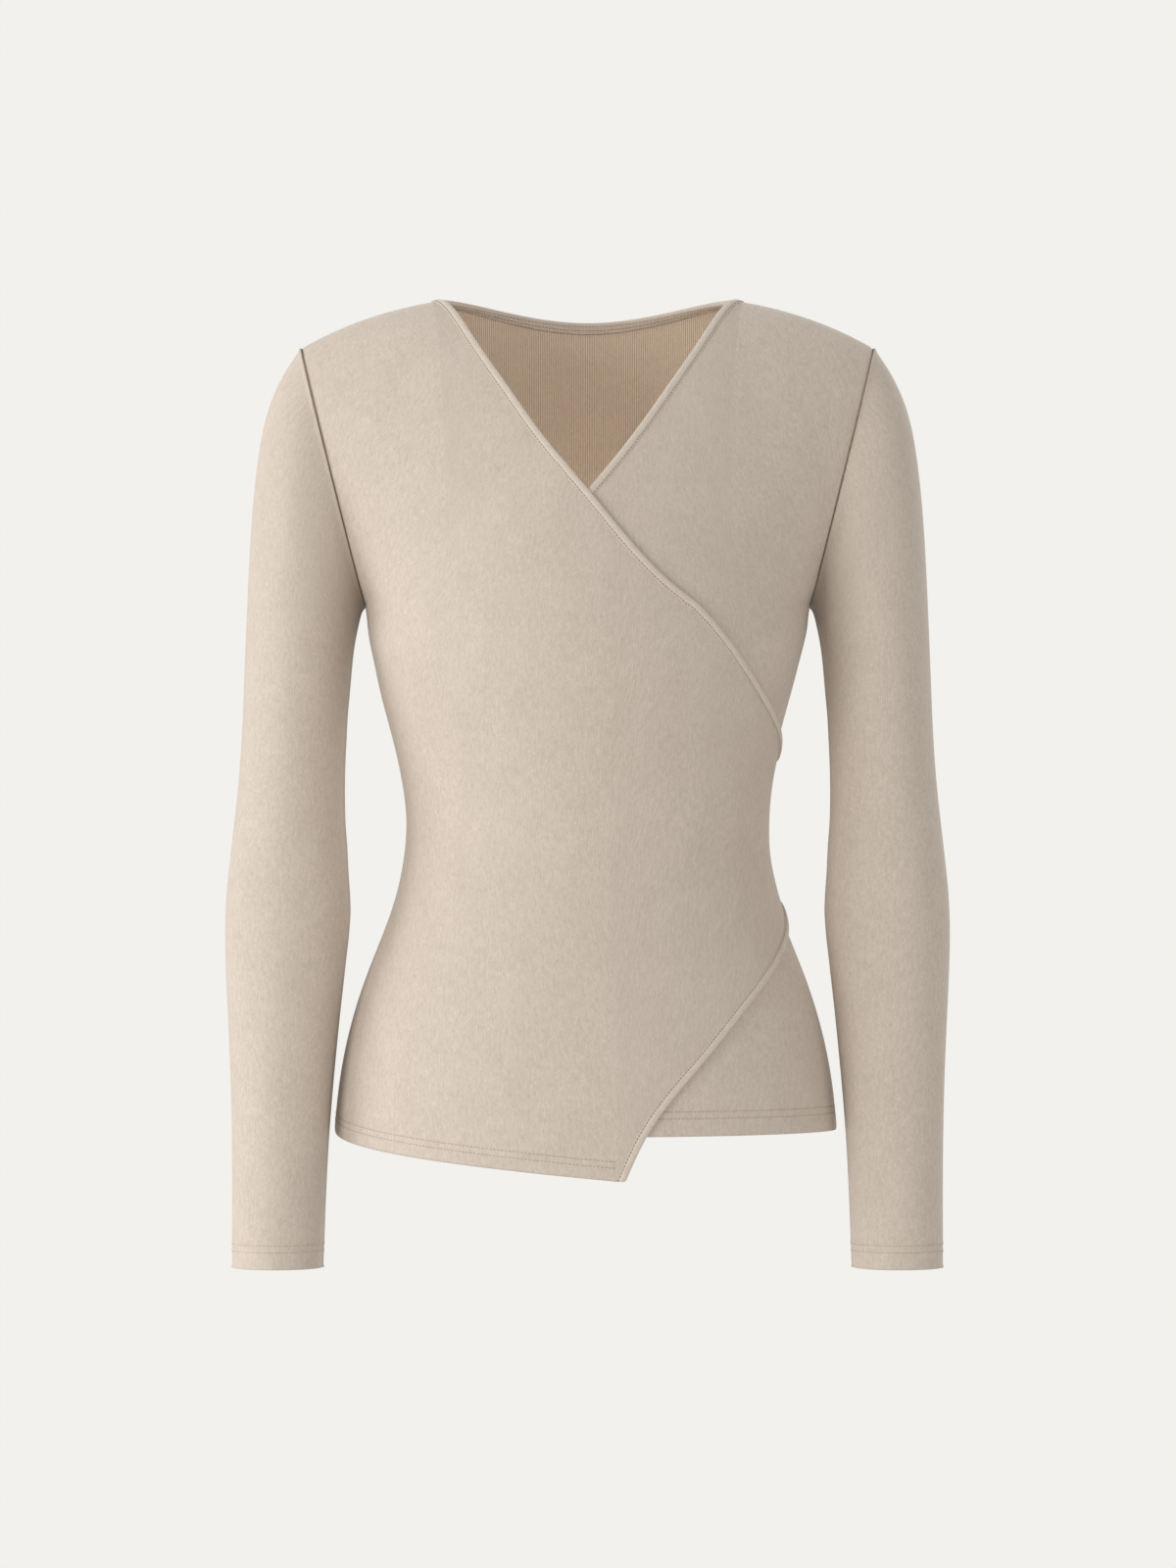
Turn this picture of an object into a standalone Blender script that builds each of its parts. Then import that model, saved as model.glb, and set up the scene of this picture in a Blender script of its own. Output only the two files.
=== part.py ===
"""A long-sleeved wrap top of fine knit, open and hollow as it is worn.

Lengths are in millimetres and become metres where a mesh is made. +Z is up, the front faces -Y and the
wearer's left is at +X. The origin lies midway between the two neck points, where the shoulder seams end.

The body is one smooth form, which the cut pieces are laid on. A place on it has two numbers:
    around  -1 at the wearer's right seam or armhole, 0 at the centre, 1 at the left one
    rise    up to 0, millimetres above the armpit; from 0 to 180, degrees passed up the armhole
"""

import math
from collections import namedtuple

import bmesh
import bpy
import numpy as np
from mathutils import Vector

MM = 0.001

# Cloth and sewing
CLOTH = 1.0           # the wall of the knit
SEAM_GAP = 0.9        # between the faces of two sewn pieces, whose insides then come 0.3 apart
ARMHOLE_GAP = 1.0     # the same at the armholes, where the faces meet at a sharper angle
LAYER_GAP = 2.1       # between the under front and the wrap front over it
BINDING_WIDTH = 5.6   # of the strip that is folded over a raw edge
BINDING_PROUD = 0.5   # how far a binding stands above the panel beside it
BINDING_END_GAP = 1.8 # between the ends of two bindings at a shoulder seam
BINDING_GAP = 0.5     # between a binding and the panel it is folded over
BINDING_CLEAR = 1.5   # between the wrap front's bindings and the under front
CLIMB_START = 24.0    # how far above the under front's edge the wrap front still stands off
CLIMB = 60.0          # the stretch above that, over which it settles onto the form

# The body's form
SIDE_PLANE_Y = 5.0    # the widest line of the body, under the shoulder seams
SIDE_SEAM_Y = 12.0    # the side seams lie a little behind it
ARMPIT_Z = -199.0
CHEST_DEPTH = 126.0   # from the side plane forward, at the armpit's height
BACK_DEPTH = 92.0     # and backward
CHEST_HOLLOW = 0.12   # how much flatter than an ellipse the slope from shoulder to chest is
BACK_HOLLOW = -0.06
RIDGE_Z = 5.0         # where the two shoulder seams would meet over the neck
LEAN_AT_SEAM = 1.35    # how fast the rows lean back from the shoulder seam, and towards the armpit
LEAN_AT_ARMPIT = 0.56
NECK_HALF_WIDTH = 97.0
BACK_NECK_DROP = 12.0
BACK_NECK_SQUARE = 0.8    # below 1 the hollow is wider than a parabola
HEM_Z = -541.0
WRAP_TIP_DROP = 28.7  # how far the wrap front's point hangs below its side seam

Trunk = namedtuple("Trunk", "z half_width front_depth back_depth")
TRUNK = (
    Trunk(-585, 164.0, 113, 112),
    Trunk(-541, 162.8, 114, 111),
    Trunk(-493, 156.8, 114, 107),
    Trunk(-442, 142.3, 109, 96),
    Trunk(-404, 127.6, 102, 84),
    Trunk(-372, 118.8, 98, 77),
    Trunk(-340, 116.2, 98, 75),
    Trunk(-301, 121.4, 106, 77),
    Trunk(-262, 131.4, 120, 83),
    Trunk(-232, 139.2, 129, 88),
    Trunk(ARMPIT_Z, 146.0, CHEST_DEPTH, BACK_DEPTH),
)

# Sleeve rings from the armhole to the cuff, on the wearer's left. Each is an oval through an outer and an
# inner point, with a depth to the front and one to the back.
Ring = namedtuple("Ring", "outer_x outer_z inner_x inner_z outer_y inner_y front_depth back_depth")
SLEEVE = (
    Ring(187.0, -31, 145.8, -199.0, 5, 12, 44, 48),
    Ring(197.5, -47, 146.6, -200.5, 5, 12, 47, 50),
    Ring(207.5, -69, 147.6, -202.5, 5, 11, 49, 51),
    Ring(214.5, -101, 148.8, -206.0, 5, 10, 50, 50),
    Ring(219.0, -145, 150.4, -213.0, 4, 9, 49, 49),
    Ring(221.5, -190, 152.8, -226.0, 4, 7, 48, 48),
    Ring(224.0, -252, 156.2, -262.0, 3, 5, 46, 46),
    Ring(226.4, -301, 158.6, -303.0, 2, 3, 44, 44),
    Ring(231.6, -353, 157.8, -353.0, 0, 0, 42, 43),
    Ring(235.6, -397, 155.2, -397.0, -3, -3, 41, 42),
    Ring(235.0, -442, 159.0, -442.0, -8, -8, 39, 40),
    Ring(232.4, -493, 164.2, -493.0, -14, -14, 37, 37),
    Ring(230.8, -545, 168.4, -545.0, -19, -19, 34, 34),
    Ring(230.4, -629, 171.8, -629.0, -26, -26, 31, 31),
)
ARMHOLE = SLEEVE[0]

# Edges of the two fronts, as places around and heights. The under front's neck edge is the wrap
# front's mirrored.
Place = namedtuple("Place", "around z")
NECK_EDGE = (
    Place(-0.345, -29),
    Place(-0.258, -57),
    Place(-0.175, -82),
    Place(-0.094, -104),
    Place(0.010, -130),
    Place(0.195, -178),
    Place(0.375, -214),
    Place(0.620, -257),
    Place(1.0, -296),
)
WRAP_LOWER_EDGE = (
    Place(0.090, HEM_Z - WRAP_TIP_DROP),
    Place(0.142, -541),
    Place(0.206, -518),
    Place(0.294, -495),
    Place(0.410, -469),
    Place(0.613, -437),
    Place(1.0, -398),
)

# Mesh
HEM_RISE = HEM_Z - ARMPIT_Z
SEAM_RISES = [HEM_RISE * i / 12 for i in range(12, 0, -1)] + [15 * i for i in range(13)]
ROW_SHARES = [(rise - HEM_RISE) / (180 - HEM_RISE) for rise in SEAM_RISES]
SLEEVE_SIDES = 24
SLEEVE_RINGS = 15
EDGE_STEPS = 400
BACK_NECK_SHARES = [i / 4 for i in range(-4, 5)]
BINDING_FOLD = 0.7        # the rounding of a binding's edges
TURN_STEP = 1e-3          # for slopes of the form

KNIT_COLOUR = (0.60, 0.52, 0.44, 1.0)
KNIT_ROUGHNESS = 0.9


class Spline:
    """A natural cubic through rows of numbers, each row at its own place."""

    def __init__(self, places, rows):
        self.places = np.asarray(places, float)
        self.rows = np.asarray(rows, float)
        count = len(self.places)
        gap = np.diff(self.places)
        slope = np.diff(self.rows, axis=0) / gap[:, None]
        matrix = np.eye(count)
        right = np.zeros_like(self.rows)
        for i in range(1, count - 1):
            matrix[i, i - 1:i + 2] = gap[i - 1], 2 * (gap[i - 1] + gap[i]), gap[i]
            right[i] = 6 * (slope[i] - slope[i - 1])
        self.bend = np.linalg.solve(matrix, right)

    def __call__(self, place):
        place = min(max(place, self.places[0]), self.places[-1])
        i = min(int(np.searchsorted(self.places, place, "right")) - 1, len(self.places) - 2)
        gap = self.places[i + 1] - self.places[i]
        after = (place - self.places[i]) / gap
        before = 1 - after
        straight = before * self.rows[i] + after * self.rows[i + 1]
        bow = (before**3 - before) * self.bend[i] + (after**3 - after) * self.bend[i + 1]
        return straight + bow * gap**2 / 6


def along(points):
    """The distance from the first point to each."""
    steps = np.linalg.norm(np.diff(np.asarray(points, float), axis=0), axis=1)
    return np.concatenate([[0], np.cumsum(steps)])


trunk_at = Spline([row.z for row in TRUNK], [row[1:] for row in TRUNK])
sleeve_length = along([((r.outer_x + r.inner_x) / 2, (r.outer_z + r.inner_z) / 2) for r in SLEEVE])
sleeve_at = Spline(sleeve_length, SLEEVE)


def ring_point(ring, angle):
    """The point of a sleeve ring at an angle: 0 outermost, 90 in front, 180 innermost. In degrees."""
    turn = math.radians(angle)
    out, front = math.cos(turn), math.sin(turn)
    depth = ring.front_depth if front > 0 else ring.back_depth
    return Vector((
        (ring.outer_x + ring.inner_x) / 2 + (ring.outer_x - ring.inner_x) / 2 * out,
        (ring.outer_y + ring.inner_y) / 2 + (ring.outer_y - ring.inner_y) / 2 * out - depth * front,
        (ring.outer_z + ring.inner_z) / 2 + (ring.outer_z - ring.inner_z) / 2 * out,
    ))


def body_row(face, rise):
    """(side point, centre depth, centre height) of a row across the front or the back of the form."""
    if rise <= 0:
        z = ARMPIT_Z + rise
        half_width, front_depth, back_depth = trunk_at(z)
        depth = front_depth if face == "front" else back_depth
        lean = (SIDE_SEAM_Y - SIDE_PLANE_Y) / depth
        return Vector((half_width * math.sqrt(1 - lean**2), SIDE_SEAM_Y, z)), depth, z
    passed = 180 - min(rise, 179.95)
    share = passed / 180
    lean = LEAN_AT_SEAM * share * (1 - share) ** 2 + share**2 * (3 - 2 * share)
    lean = math.radians(90) * (lean - LEAN_AT_ARMPIT * share**2 * (1 - share))
    full, hollow = (CHEST_DEPTH, CHEST_HOLLOW) if face == "front" else (BACK_DEPTH, BACK_HOLLOW)
    depth = full * math.sin(lean) * (1 - hollow * math.sin(2 * lean))
    centre_z = RIDGE_Z - (RIDGE_Z - ARMPIT_Z) * (1 - math.cos(lean))
    return ring_point(ARMHOLE, passed if face == "front" else -passed), depth, centre_z


def body_point(face, around, rise):
    """The point of the body's form at a place."""
    side, depth, centre_z = body_row(face, rise)
    forward = -1 if face == "front" else 1
    turn = math.acos(max(-1, min(1, (side.y - SIDE_PLANE_Y) * forward / depth)))
    share = math.sin(around * turn) / math.sin(turn)
    return Vector((
        side.x * share,
        SIDE_PLANE_Y + forward * depth * math.cos(around * turn),
        side.z + (centre_z - side.z) * (1 - abs(share) ** 3),
    ))


def body_slopes(face, around, rise):
    """How the point moves for a step around, and for a step of rise."""
    low, high = rise - TURN_STEP, rise + TURN_STEP
    if rise > 179.9:
        low, high = rise - 2 * TURN_STEP - 0.1, rise - 0.1
    across = body_point(face, around + TURN_STEP, rise) - body_point(face, around - TURN_STEP, rise)
    up = body_point(face, around, high) - body_point(face, around, low)
    return across / (2 * TURN_STEP), up / (2 * TURN_STEP)


def outward(face, around, rise):
    across, up = body_slopes(face, around, rise)
    normal = across.cross(up).normalized()
    return normal if face == "front" else -normal


def rise_at(face, around, z):
    """The rise at which the form passes a height, at a place around."""
    if z <= ARMPIT_Z:
        return z - ARMPIT_Z
    low, high = 0.0, 180.0
    for _ in range(40):
        middle = (low + high) / 2
        if body_point(face, around, middle).z < z:
            low = middle
        else:
            high = middle
    return (low + high) / 2


def neck_around(face):
    """The place around at which the shoulder seam meets the neckline."""
    low, high = 0.0, 1.0
    for _ in range(40):
        middle = (low + high) / 2
        if body_point(face, middle, 180).x < NECK_HALF_WIDTH:
            low = middle
        else:
            high = middle
    return low


def edge_path(places, ends_at_neck):
    """An edge of the wrap front as closely spaced (around, rise), from the table's places."""
    points = [(p.around, rise_at("front", p.around, p.z)) for p in places]
    if ends_at_neck:
        points.insert(0, (-neck_around("front"), 180.0))
    points = np.array(points)
    spots = [body_point("front", *p) for p in points]
    smooth = Spline(along(spots), points)
    return np.array([smooth(d) for d in np.linspace(0, smooth.places[-1], EDGE_STEPS)])


def shifted(path, distance):
    """A path moved sideways on the form: to the left of its course, seen from outside."""
    moved = []
    for i, (around, rise) in enumerate(path):
        before, after = path[max(i - 1, 0)], path[min(i + 1, len(path) - 1)]
        course = body_point("front", *after) - body_point("front", *before)
        across, up = body_slopes("front", around, rise)
        aside = across.cross(up).normalized().cross(course.normalized()) * distance
        basis = np.array([across, up]).T
        step = np.linalg.lstsq(basis, np.array(aside), rcond=None)[0]
        moved.append((around + step[0], rise + step[1]))
    return np.array(moved)


def place_on(path, index):
    """The place at an index of a path, which may fall between its points or a little past its ends."""
    i = min(max(int(index), 0), len(path) - 2)
    return path[i] + (path[i + 1] - path[i]) * (index - i)


def index_where(path, measure):
    """The index at which a measure of a path's places passes zero, a little past its ends too."""
    values = [measure(place) for place in path]
    crossings = [i for i in range(len(path) - 1) if values[i] * values[i + 1] <= 0]
    i = 0 if abs(values[0]) < abs(values[-1]) else len(path) - 2
    if crossings:
        i = crossings[0]
    return i + values[i] / (values[i] - values[i + 1])


def at_shoulder(place):
    return place[1] - 180


def at_left_seam(place):
    return place[0] - 1


def wrap_hem_rise(around):
    """The wrap front's hem runs straight from its side seam down to its point."""
    tip = WRAP_LOWER_EDGE[0].around
    return HEM_RISE - WRAP_TIP_DROP * (around + 1) / (tip + 1)


def at_wrap_hem(place):
    return place[1] - wrap_hem_rise(place[0])


def strip(path, direction, first, last):
    """The outer edge of a binding, its inner edge and the edge of its panel, from first to last.

    Each is a function of the stations between its two ends, which are indices on the path.
    """
    edges = []
    for inset in (0, BINDING_WIDTH, BINDING_WIDTH + BINDING_GAP):
        edge = shifted(path, inset * direction)
        edges.append((edge, index_where(edge, first), index_where(edge, last)))
    return edges


def stations(edge, indices):
    """The places of one edge of a strip: its two ends, and those at the indices between them."""
    path, first, last = edge
    return [place_on(path, i) for i in (first, *indices, last)]


neck_edge = edge_path(NECK_EDGE, ends_at_neck=True)
lower_edge = edge_path(WRAP_LOWER_EDGE, ends_at_neck=False)
neck_strip = strip(neck_edge, -1, at_shoulder, at_left_seam)
lower_strip = strip(lower_edge, 1, at_wrap_hem, at_left_seam)


def column_indices(edge, columns):
    """Where an edge of a strip passes each column of a front."""
    return [index_where(edge[0], lambda place, column=column: place[0] - column) for column in columns]


# The columns of both fronts: one at each neck point, one at the wrap front's point, each mirrored
neck_around_panel = -place_on(neck_strip[2][0], neck_strip[2][1])[0]
tip_around = place_on(lower_strip[2][0], lower_strip[2][1])[0]
HALF_COLUMNS = [*np.linspace(tip_around, neck_around_panel, 4), *np.linspace(neck_around_panel, 1, 7)[1:]]
FRONT_COLUMNS = [-column for column in reversed(HALF_COLUMNS)] + HALF_COLUMNS
neck_indices = column_indices(neck_strip[2], [c for c in FRONT_COLUMNS if -neck_around_panel < c < 1])
lower_indices = column_indices(lower_strip[2], [c for c in FRONT_COLUMNS if tip_around < c < 1])


def wrap_lift(around, rise):
    """How far the wrap front's face stands off the form, because the under front is beneath it."""
    edge_rise = np.interp(around, -neck_edge[::-1, 0], neck_edge[::-1, 1])
    above = body_point("front", around, rise).z - body_point("front", around, edge_rise).z
    share = 1 - max(0.0, min(1.0, (above - CLIMB_START) / CLIMB))
    return (LAYER_GAP + CLOTH) * share * share * (3 - 2 * share)


def flat_lift(around, rise):
    return 0.0


def cloth_point(face, around, rise, lift, gap=SEAM_GAP):
    """A point lifted off the form, and kept half a gap from the shoulder or side seam that it lies on."""
    point = body_point(face, around, rise) + outward(face, around, rise) * lift
    if rise > 179.99 or (abs(around) > 0.999 and rise <= 0):
        point.y += (-1 if face == "front" else 1) * gap / 2
    return point


def clear_scene():
    for thing in list(bpy.data.objects):
        bpy.data.objects.remove(thing)


def knit_material(name):
    material = bpy.data.materials.new(name)
    material.use_nodes = True
    shader = material.node_tree.nodes["Principled BSDF"]
    shader.inputs["Base Color"].default_value = KNIT_COLOUR
    shader.inputs["Roughness"].default_value = KNIT_ROUGHNESS
    return material


def sheet_object(name, rows, wall, closed=False, flip=False):
    """A piece of cloth: an open grid of points in millimetres, thickened inwards."""
    mesh = bpy.data.meshes.new(name)
    bm = bmesh.new()
    grid = [[bm.verts.new(point * MM) for point in row] for row in rows]
    for low, high in zip(grid, grid[1:]):
        count = len(low)
        for i in range(count if closed else count - 1):
            j = (i + 1) % count
            corners = (low[i], low[j], high[j], high[i])
            bm.faces.new(corners[::-1] if flip else corners)
    bm.to_mesh(mesh)
    bm.free()
    piece = bpy.data.objects.new(name, mesh)
    mesh.materials.append(knit_material(name))
    collection.objects.link(piece)
    wall_modifier = piece.modifiers.new("Cloth", "SOLIDIFY")
    wall_modifier.thickness = wall * MM
    wall_modifier.offset = -1
    wall_modifier.use_even_offset = True
    mesh.shade_smooth()
    mesh.set_sharp_from_angle(angle=math.radians(40))
    return piece


def edge_rise(edge, around):
    """The rise at which an edge of a strip passes a column."""
    path, first, last = edge
    ends = [place_on(path, first), place_on(path, last)]
    places = np.array([ends[0], *path[math.ceil(max(first, 0)):math.floor(last) + 1], ends[1]])
    return float(np.interp(around, places[:, 0], places[:, 1]))


def neck_top(around):
    """The top of a column of the wrap front: the shoulder seam, or the edge under the neck's binding."""
    return 180 if around < -neck_around_panel + 1e-6 else edge_rise(neck_strip[2], around)


def wrap_bottom(around):
    return wrap_hem_rise(around) if around < tip_around + 1e-6 else edge_rise(lower_strip[2], around)


def front(name, bottom, top, lift):
    """A front, in columns that run from its lower edge to its upper edge."""
    columns = [(around, bottom(around), top(around)) for around in FRONT_COLUMNS]
    rows = []
    for share in ROW_SHARES:
        places = [(around, low + (high - low) * share) for around, low, high in columns]
        rows.append([cloth_point("front", *place, lift(*place)) for place in places])
    return sheet_object(name, rows, CLOTH)


def fronts():
    """The right front, which wraps over to the left side seam, and the left one under it."""
    front("front_wrap", wrap_bottom, neck_top, wrap_lift)
    front("front_under", lambda around: HEM_RISE, lambda around: neck_top(-around), flat_lift)


def back_neck_place(share, inset):
    """A place on the back neckline, or on a line an inset below it. Share is -1 to 1 from point to point."""
    neck = neck_around("back")
    middle_rise = rise_at("back", 0, -BACK_NECK_DROP)
    across = body_slopes("back", neck, 179)[0].length
    up = body_slopes("back", 0, middle_rise)[1].length
    dip = max(0.0, 1 - share**2) ** BACK_NECK_SQUARE
    return share * (neck + inset / across), 180 + (middle_rise - inset / up - 180) * dip


def back():
    """The back, from hem to shoulder seams, hollowed for the neck."""
    inset = BINDING_WIDTH + BINDING_GAP
    neck_places = [back_neck_place(share, inset) for share in BACK_NECK_SHARES]
    right_side = [(around, 180) for around in np.linspace(-1, neck_places[0][0], 6)[:-1]]
    left_side = [(-around, top) for around, top in reversed(right_side)]
    tops = right_side + neck_places + left_side
    rows = []
    for rise in SEAM_RISES:
        places = [(around, rise if rise <= 0 else rise * top / 180) for around, top in tops]
        rows.append([cloth_point("back", *place, 0) for place in places])
    return sheet_object("back", rows, CLOTH, flip=True)


def sleeve(name, side):
    """A sleeve, set into the armhole and open at the cuff. Side is 1 on the wearer's left."""
    away = Vector((ARMHOLE.inner_z - ARMHOLE.outer_z, 0, ARMHOLE.outer_x - ARMHOLE.inner_x)).normalized()
    rows = []
    for i in range(SLEEVE_RINGS + 1):
        ring = Ring(*sleeve_at(sleeve_length[-1] * i / SLEEVE_RINGS))
        line = []
        for k in range(SLEEVE_SIDES):
            point = ring_point(ring, 360 * k / SLEEVE_SIDES) - away * ARMHOLE_GAP
            line.append(Vector((point.x * side, point.y, point.z)))
        rows.append(line)
    return sheet_object(name, rows, CLOTH, closed=True, flip=side > 0)


def binding(name, face, low, high, lift, wall, mirrored=False):
    """A strip folded over a raw edge. Its face stands a little above the panel beside it."""
    side = -1 if mirrored else 1
    rows = []
    for edge in (low, high):
        points = [cloth_point(face, *place, lift(*place) + BINDING_PROUD, BINDING_END_GAP) for place in edge]
        rows.append([Vector((point.x * side, point.y, point.z)) for point in points])
    piece = sheet_object(name, rows, wall, flip=(face == "back") != mirrored)
    fold = piece.modifiers.new("Fold", "BEVEL")
    fold.width = BINDING_FOLD * MM
    fold.segments = 1
    fold.limit_method = "ANGLE"
    fold.angle_limit = math.radians(50)
    return piece


def bindings():
    """The strips on both neck edges, the back neck and the wrap front's lower edge."""
    wrap_wall = LAYER_GAP + CLOTH + BINDING_PROUD - BINDING_CLEAR
    single_wall = CLOTH + 2 * BINDING_PROUD
    neck_high, neck_low = (stations(edge, neck_indices) for edge in neck_strip[:2])
    lower_low, lower_high = (stations(edge, lower_indices) for edge in lower_strip[:2])
    binding("binding_wrap_neck", "front", neck_low, neck_high, wrap_lift, wrap_wall)
    binding("binding_wrap_lower", "front", lower_low, lower_high, wrap_lift, wrap_wall)
    binding("binding_under_neck", "front", neck_low, neck_high, flat_lift, single_wall, mirrored=True)
    back_high, back_low = ([back_neck_place(share, inset) for share in BACK_NECK_SHARES]
                           for inset in (0, BINDING_WIDTH))
    binding("binding_back_neck", "back", back_low, back_high, flat_lift, single_wall)


clear_scene()
collection = bpy.data.collections.new("wrap_top")
bpy.context.scene.collection.children.link(collection)
fronts()
back()
sleeve("sleeve_left", 1)
sleeve("sleeve_right", -1)
bindings()
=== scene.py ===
# %% [markdown]
# # A wrap top of fine knit
#
# The top is sewn from nine pieces: a back, a right front that wraps over a left front, two sleeves, and four
# narrow strips that bind the raw edges. It keeps the shape it has when it is worn, hollow and open at the
# neck, hem and cuffs. This lesson lays a fine mesh for each cut piece on one smooth form, sews it with
# stitches that are real meshes, and gives the knit its melange, its nap and its soft sheen.
#
# Lengths on the form are in millimetres, and become metres where a mesh is made. +Z is up, the front faces
# -Y, the wearer's left is at +X, and the origin lies midway between the two neck points.

# %% Load the frame
import math
from collections import namedtuple

import bmesh
import bpy
import numpy as np
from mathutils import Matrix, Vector


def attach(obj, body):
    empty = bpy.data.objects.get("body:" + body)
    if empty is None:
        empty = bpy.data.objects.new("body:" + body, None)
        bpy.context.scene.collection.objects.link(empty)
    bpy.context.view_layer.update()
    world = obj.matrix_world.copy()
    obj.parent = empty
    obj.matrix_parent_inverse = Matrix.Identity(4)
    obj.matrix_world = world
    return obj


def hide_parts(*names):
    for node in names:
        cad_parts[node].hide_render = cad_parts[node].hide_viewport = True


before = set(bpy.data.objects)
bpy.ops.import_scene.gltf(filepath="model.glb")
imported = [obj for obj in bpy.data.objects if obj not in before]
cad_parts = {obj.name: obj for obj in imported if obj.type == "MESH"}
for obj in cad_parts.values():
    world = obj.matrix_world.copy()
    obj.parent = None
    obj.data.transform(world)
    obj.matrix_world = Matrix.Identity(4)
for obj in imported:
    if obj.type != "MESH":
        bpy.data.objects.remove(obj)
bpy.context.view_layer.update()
scene = bpy.context.scene
MM = 0.001

# %% [markdown]
# ## Room, light and camera
#
# A plain pale room lets the knit's own soft shading show. The world is what the camera sees behind the top,
# and it also gives the weak light that fills the shadows. A large key light from the upper left makes the
# wearer's right side bright, and a weaker one on the other side keeps the far sleeve from going dark.

# %% Camera
VIEW_DISTANCE = 4.6
VIEW_HEIGHT = -0.3156
VIEW_ACROSS = 0.0003
VIEW_TALL = 1.024          # metres of the picture's height at the top's middle
SENSOR = 36.0

camera_data = bpy.data.cameras.new("camera")
camera_data.sensor_fit = "VERTICAL"
camera_data.sensor_height = SENSOR
camera_data.lens = SENSOR * VIEW_DISTANCE / VIEW_TALL
camera = bpy.data.objects.new("camera", camera_data)
camera.location = (VIEW_ACROSS, -VIEW_DISTANCE, VIEW_HEIGHT)
camera.rotation_euler = (math.radians(90), 0, 0)
scene.collection.objects.link(camera)
scene.camera = camera
scene.view_settings.view_transform = "Standard"
print("The camera has a lens of", round(camera_data.lens, 1), "mm")

# %% World and floor
BACKDROP = (0.888, 0.879, 0.847)
AMBIENT = 0.50
AMBIENT_COLOUR = (1.0, 0.985, 0.96, 1)
FLOOR_COLOUR = (0.8, 0.79, 0.77, 1)
FLOOR_ROUGHNESS = 0.8
FLOOR_SIDES = 96
FLOOR_Z = -1.05
FLOOR_RADIUS = 1.8

world = bpy.data.worlds.new("studio")
scene.world = world
world.use_nodes = True
nodes, links = world.node_tree.nodes, world.node_tree.links
seen = nodes["Background"]
seen.inputs["Color"].default_value = (*BACKDROP, 1)
lighting = nodes.new("ShaderNodeBackground")
lighting.inputs["Color"].default_value = AMBIENT_COLOUR
lighting.inputs["Strength"].default_value = AMBIENT
light_path = nodes.new("ShaderNodeLightPath")
choose = nodes.new("ShaderNodeMixShader")
links.new(light_path.outputs["Is Camera Ray"], choose.inputs["Fac"])
links.new(lighting.outputs[0], choose.inputs[1])
links.new(seen.outputs[0], choose.inputs[2])
links.new(choose.outputs[0], nodes["World Output"].inputs["Surface"])

bpy.ops.mesh.primitive_circle_add(
    vertices=FLOOR_SIDES, radius=FLOOR_RADIUS, fill_type="NGON", location=(0, 0, FLOOR_Z))
floor = bpy.context.object
floor.name = "floor"
floor_material = bpy.data.materials.new("pale floor")
floor_material.use_nodes = True
floor_shader = floor_material.node_tree.nodes["Principled BSDF"]
floor_shader.inputs["Base Color"].default_value = FLOOR_COLOUR
floor_shader.inputs["Roughness"].default_value = FLOOR_ROUGHNESS
floor.data.materials.append(floor_material)
print("The floor lies", -FLOOR_Z, "m below the neck points")

# %% Lights
Lamp = namedtuple("Lamp", "name place target size power")
LAMPS = (
    Lamp("key", (-2.8, -2.8, 0.1), (0, 0, -0.38), 1.8, 62),
    Lamp("fill", (2.8, -2.6, -0.3), (0, 0, -0.4), 1.8, 24),
    Lamp("left", (-3.2, -0.3, -0.2), (0, 0, -0.35), 1.6, 40),
    Lamp("top", (-0.4, 0.4, 2.4), (0, 0, -0.2), 1.6, 16),
    Lamp("inside", (0, -0.03, -0.34), (0, 0.07, -0.05), 0.10, 0.35),
    Lamp("back", (1.2, 2.8, 0.8), (0, 0, -0.3), 1.6, 26),
)
for lamp in LAMPS:
    data = bpy.data.lights.new(lamp.name, "AREA")
    data.shape = "SQUARE"
    data.size = lamp.size
    data.energy = lamp.power
    light = bpy.data.objects.new(lamp.name, data)
    light.location = lamp.place
    aim = Vector(lamp.target) - Vector(lamp.place)
    light.rotation_euler = aim.to_track_quat("-Z", "Y").to_euler()
    scene.collection.objects.link(light)
print("The room has", len(LAMPS), "lamps")

# %% [markdown]
# ## The form
#
# A pattern maker works over a stand. Here the stand is a formula that nobody sees: rows of half ovals, whose
# sizes come from a short table, and which lean back over the shoulders. A place on it has two numbers, so
# that a cut edge can be drawn on it: how far around (-1 at the right seam, 0 in the middle, 1 at the left
# seam) and its rise (millimetres above the armpit up to 0, then degrees passed up the armhole, to 180 at the
# shoulder).

# %% Sizes of the form
SIDE_PLANE_Y = 5.0
SIDE_SEAM_Y = 12.0
ARMPIT_Z = -199.0
CHEST_DEPTH = 126.0
BACK_DEPTH = 92.0
CHEST_HOLLOW = 0.12
BACK_HOLLOW = -0.06
RIDGE_Z = 5.0
LEAN_AT_SEAM = 1.35
LEAN_AT_ARMPIT = 0.56
NECK_HALF_WIDTH = 97.0
BACK_NECK_DROP = 12.0
BACK_NECK_SQUARE = 0.8
HEM_Z = -541.0
HEM_RISE = HEM_Z - ARMPIT_Z
WRAP_TIP_DROP = 28.7

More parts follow.
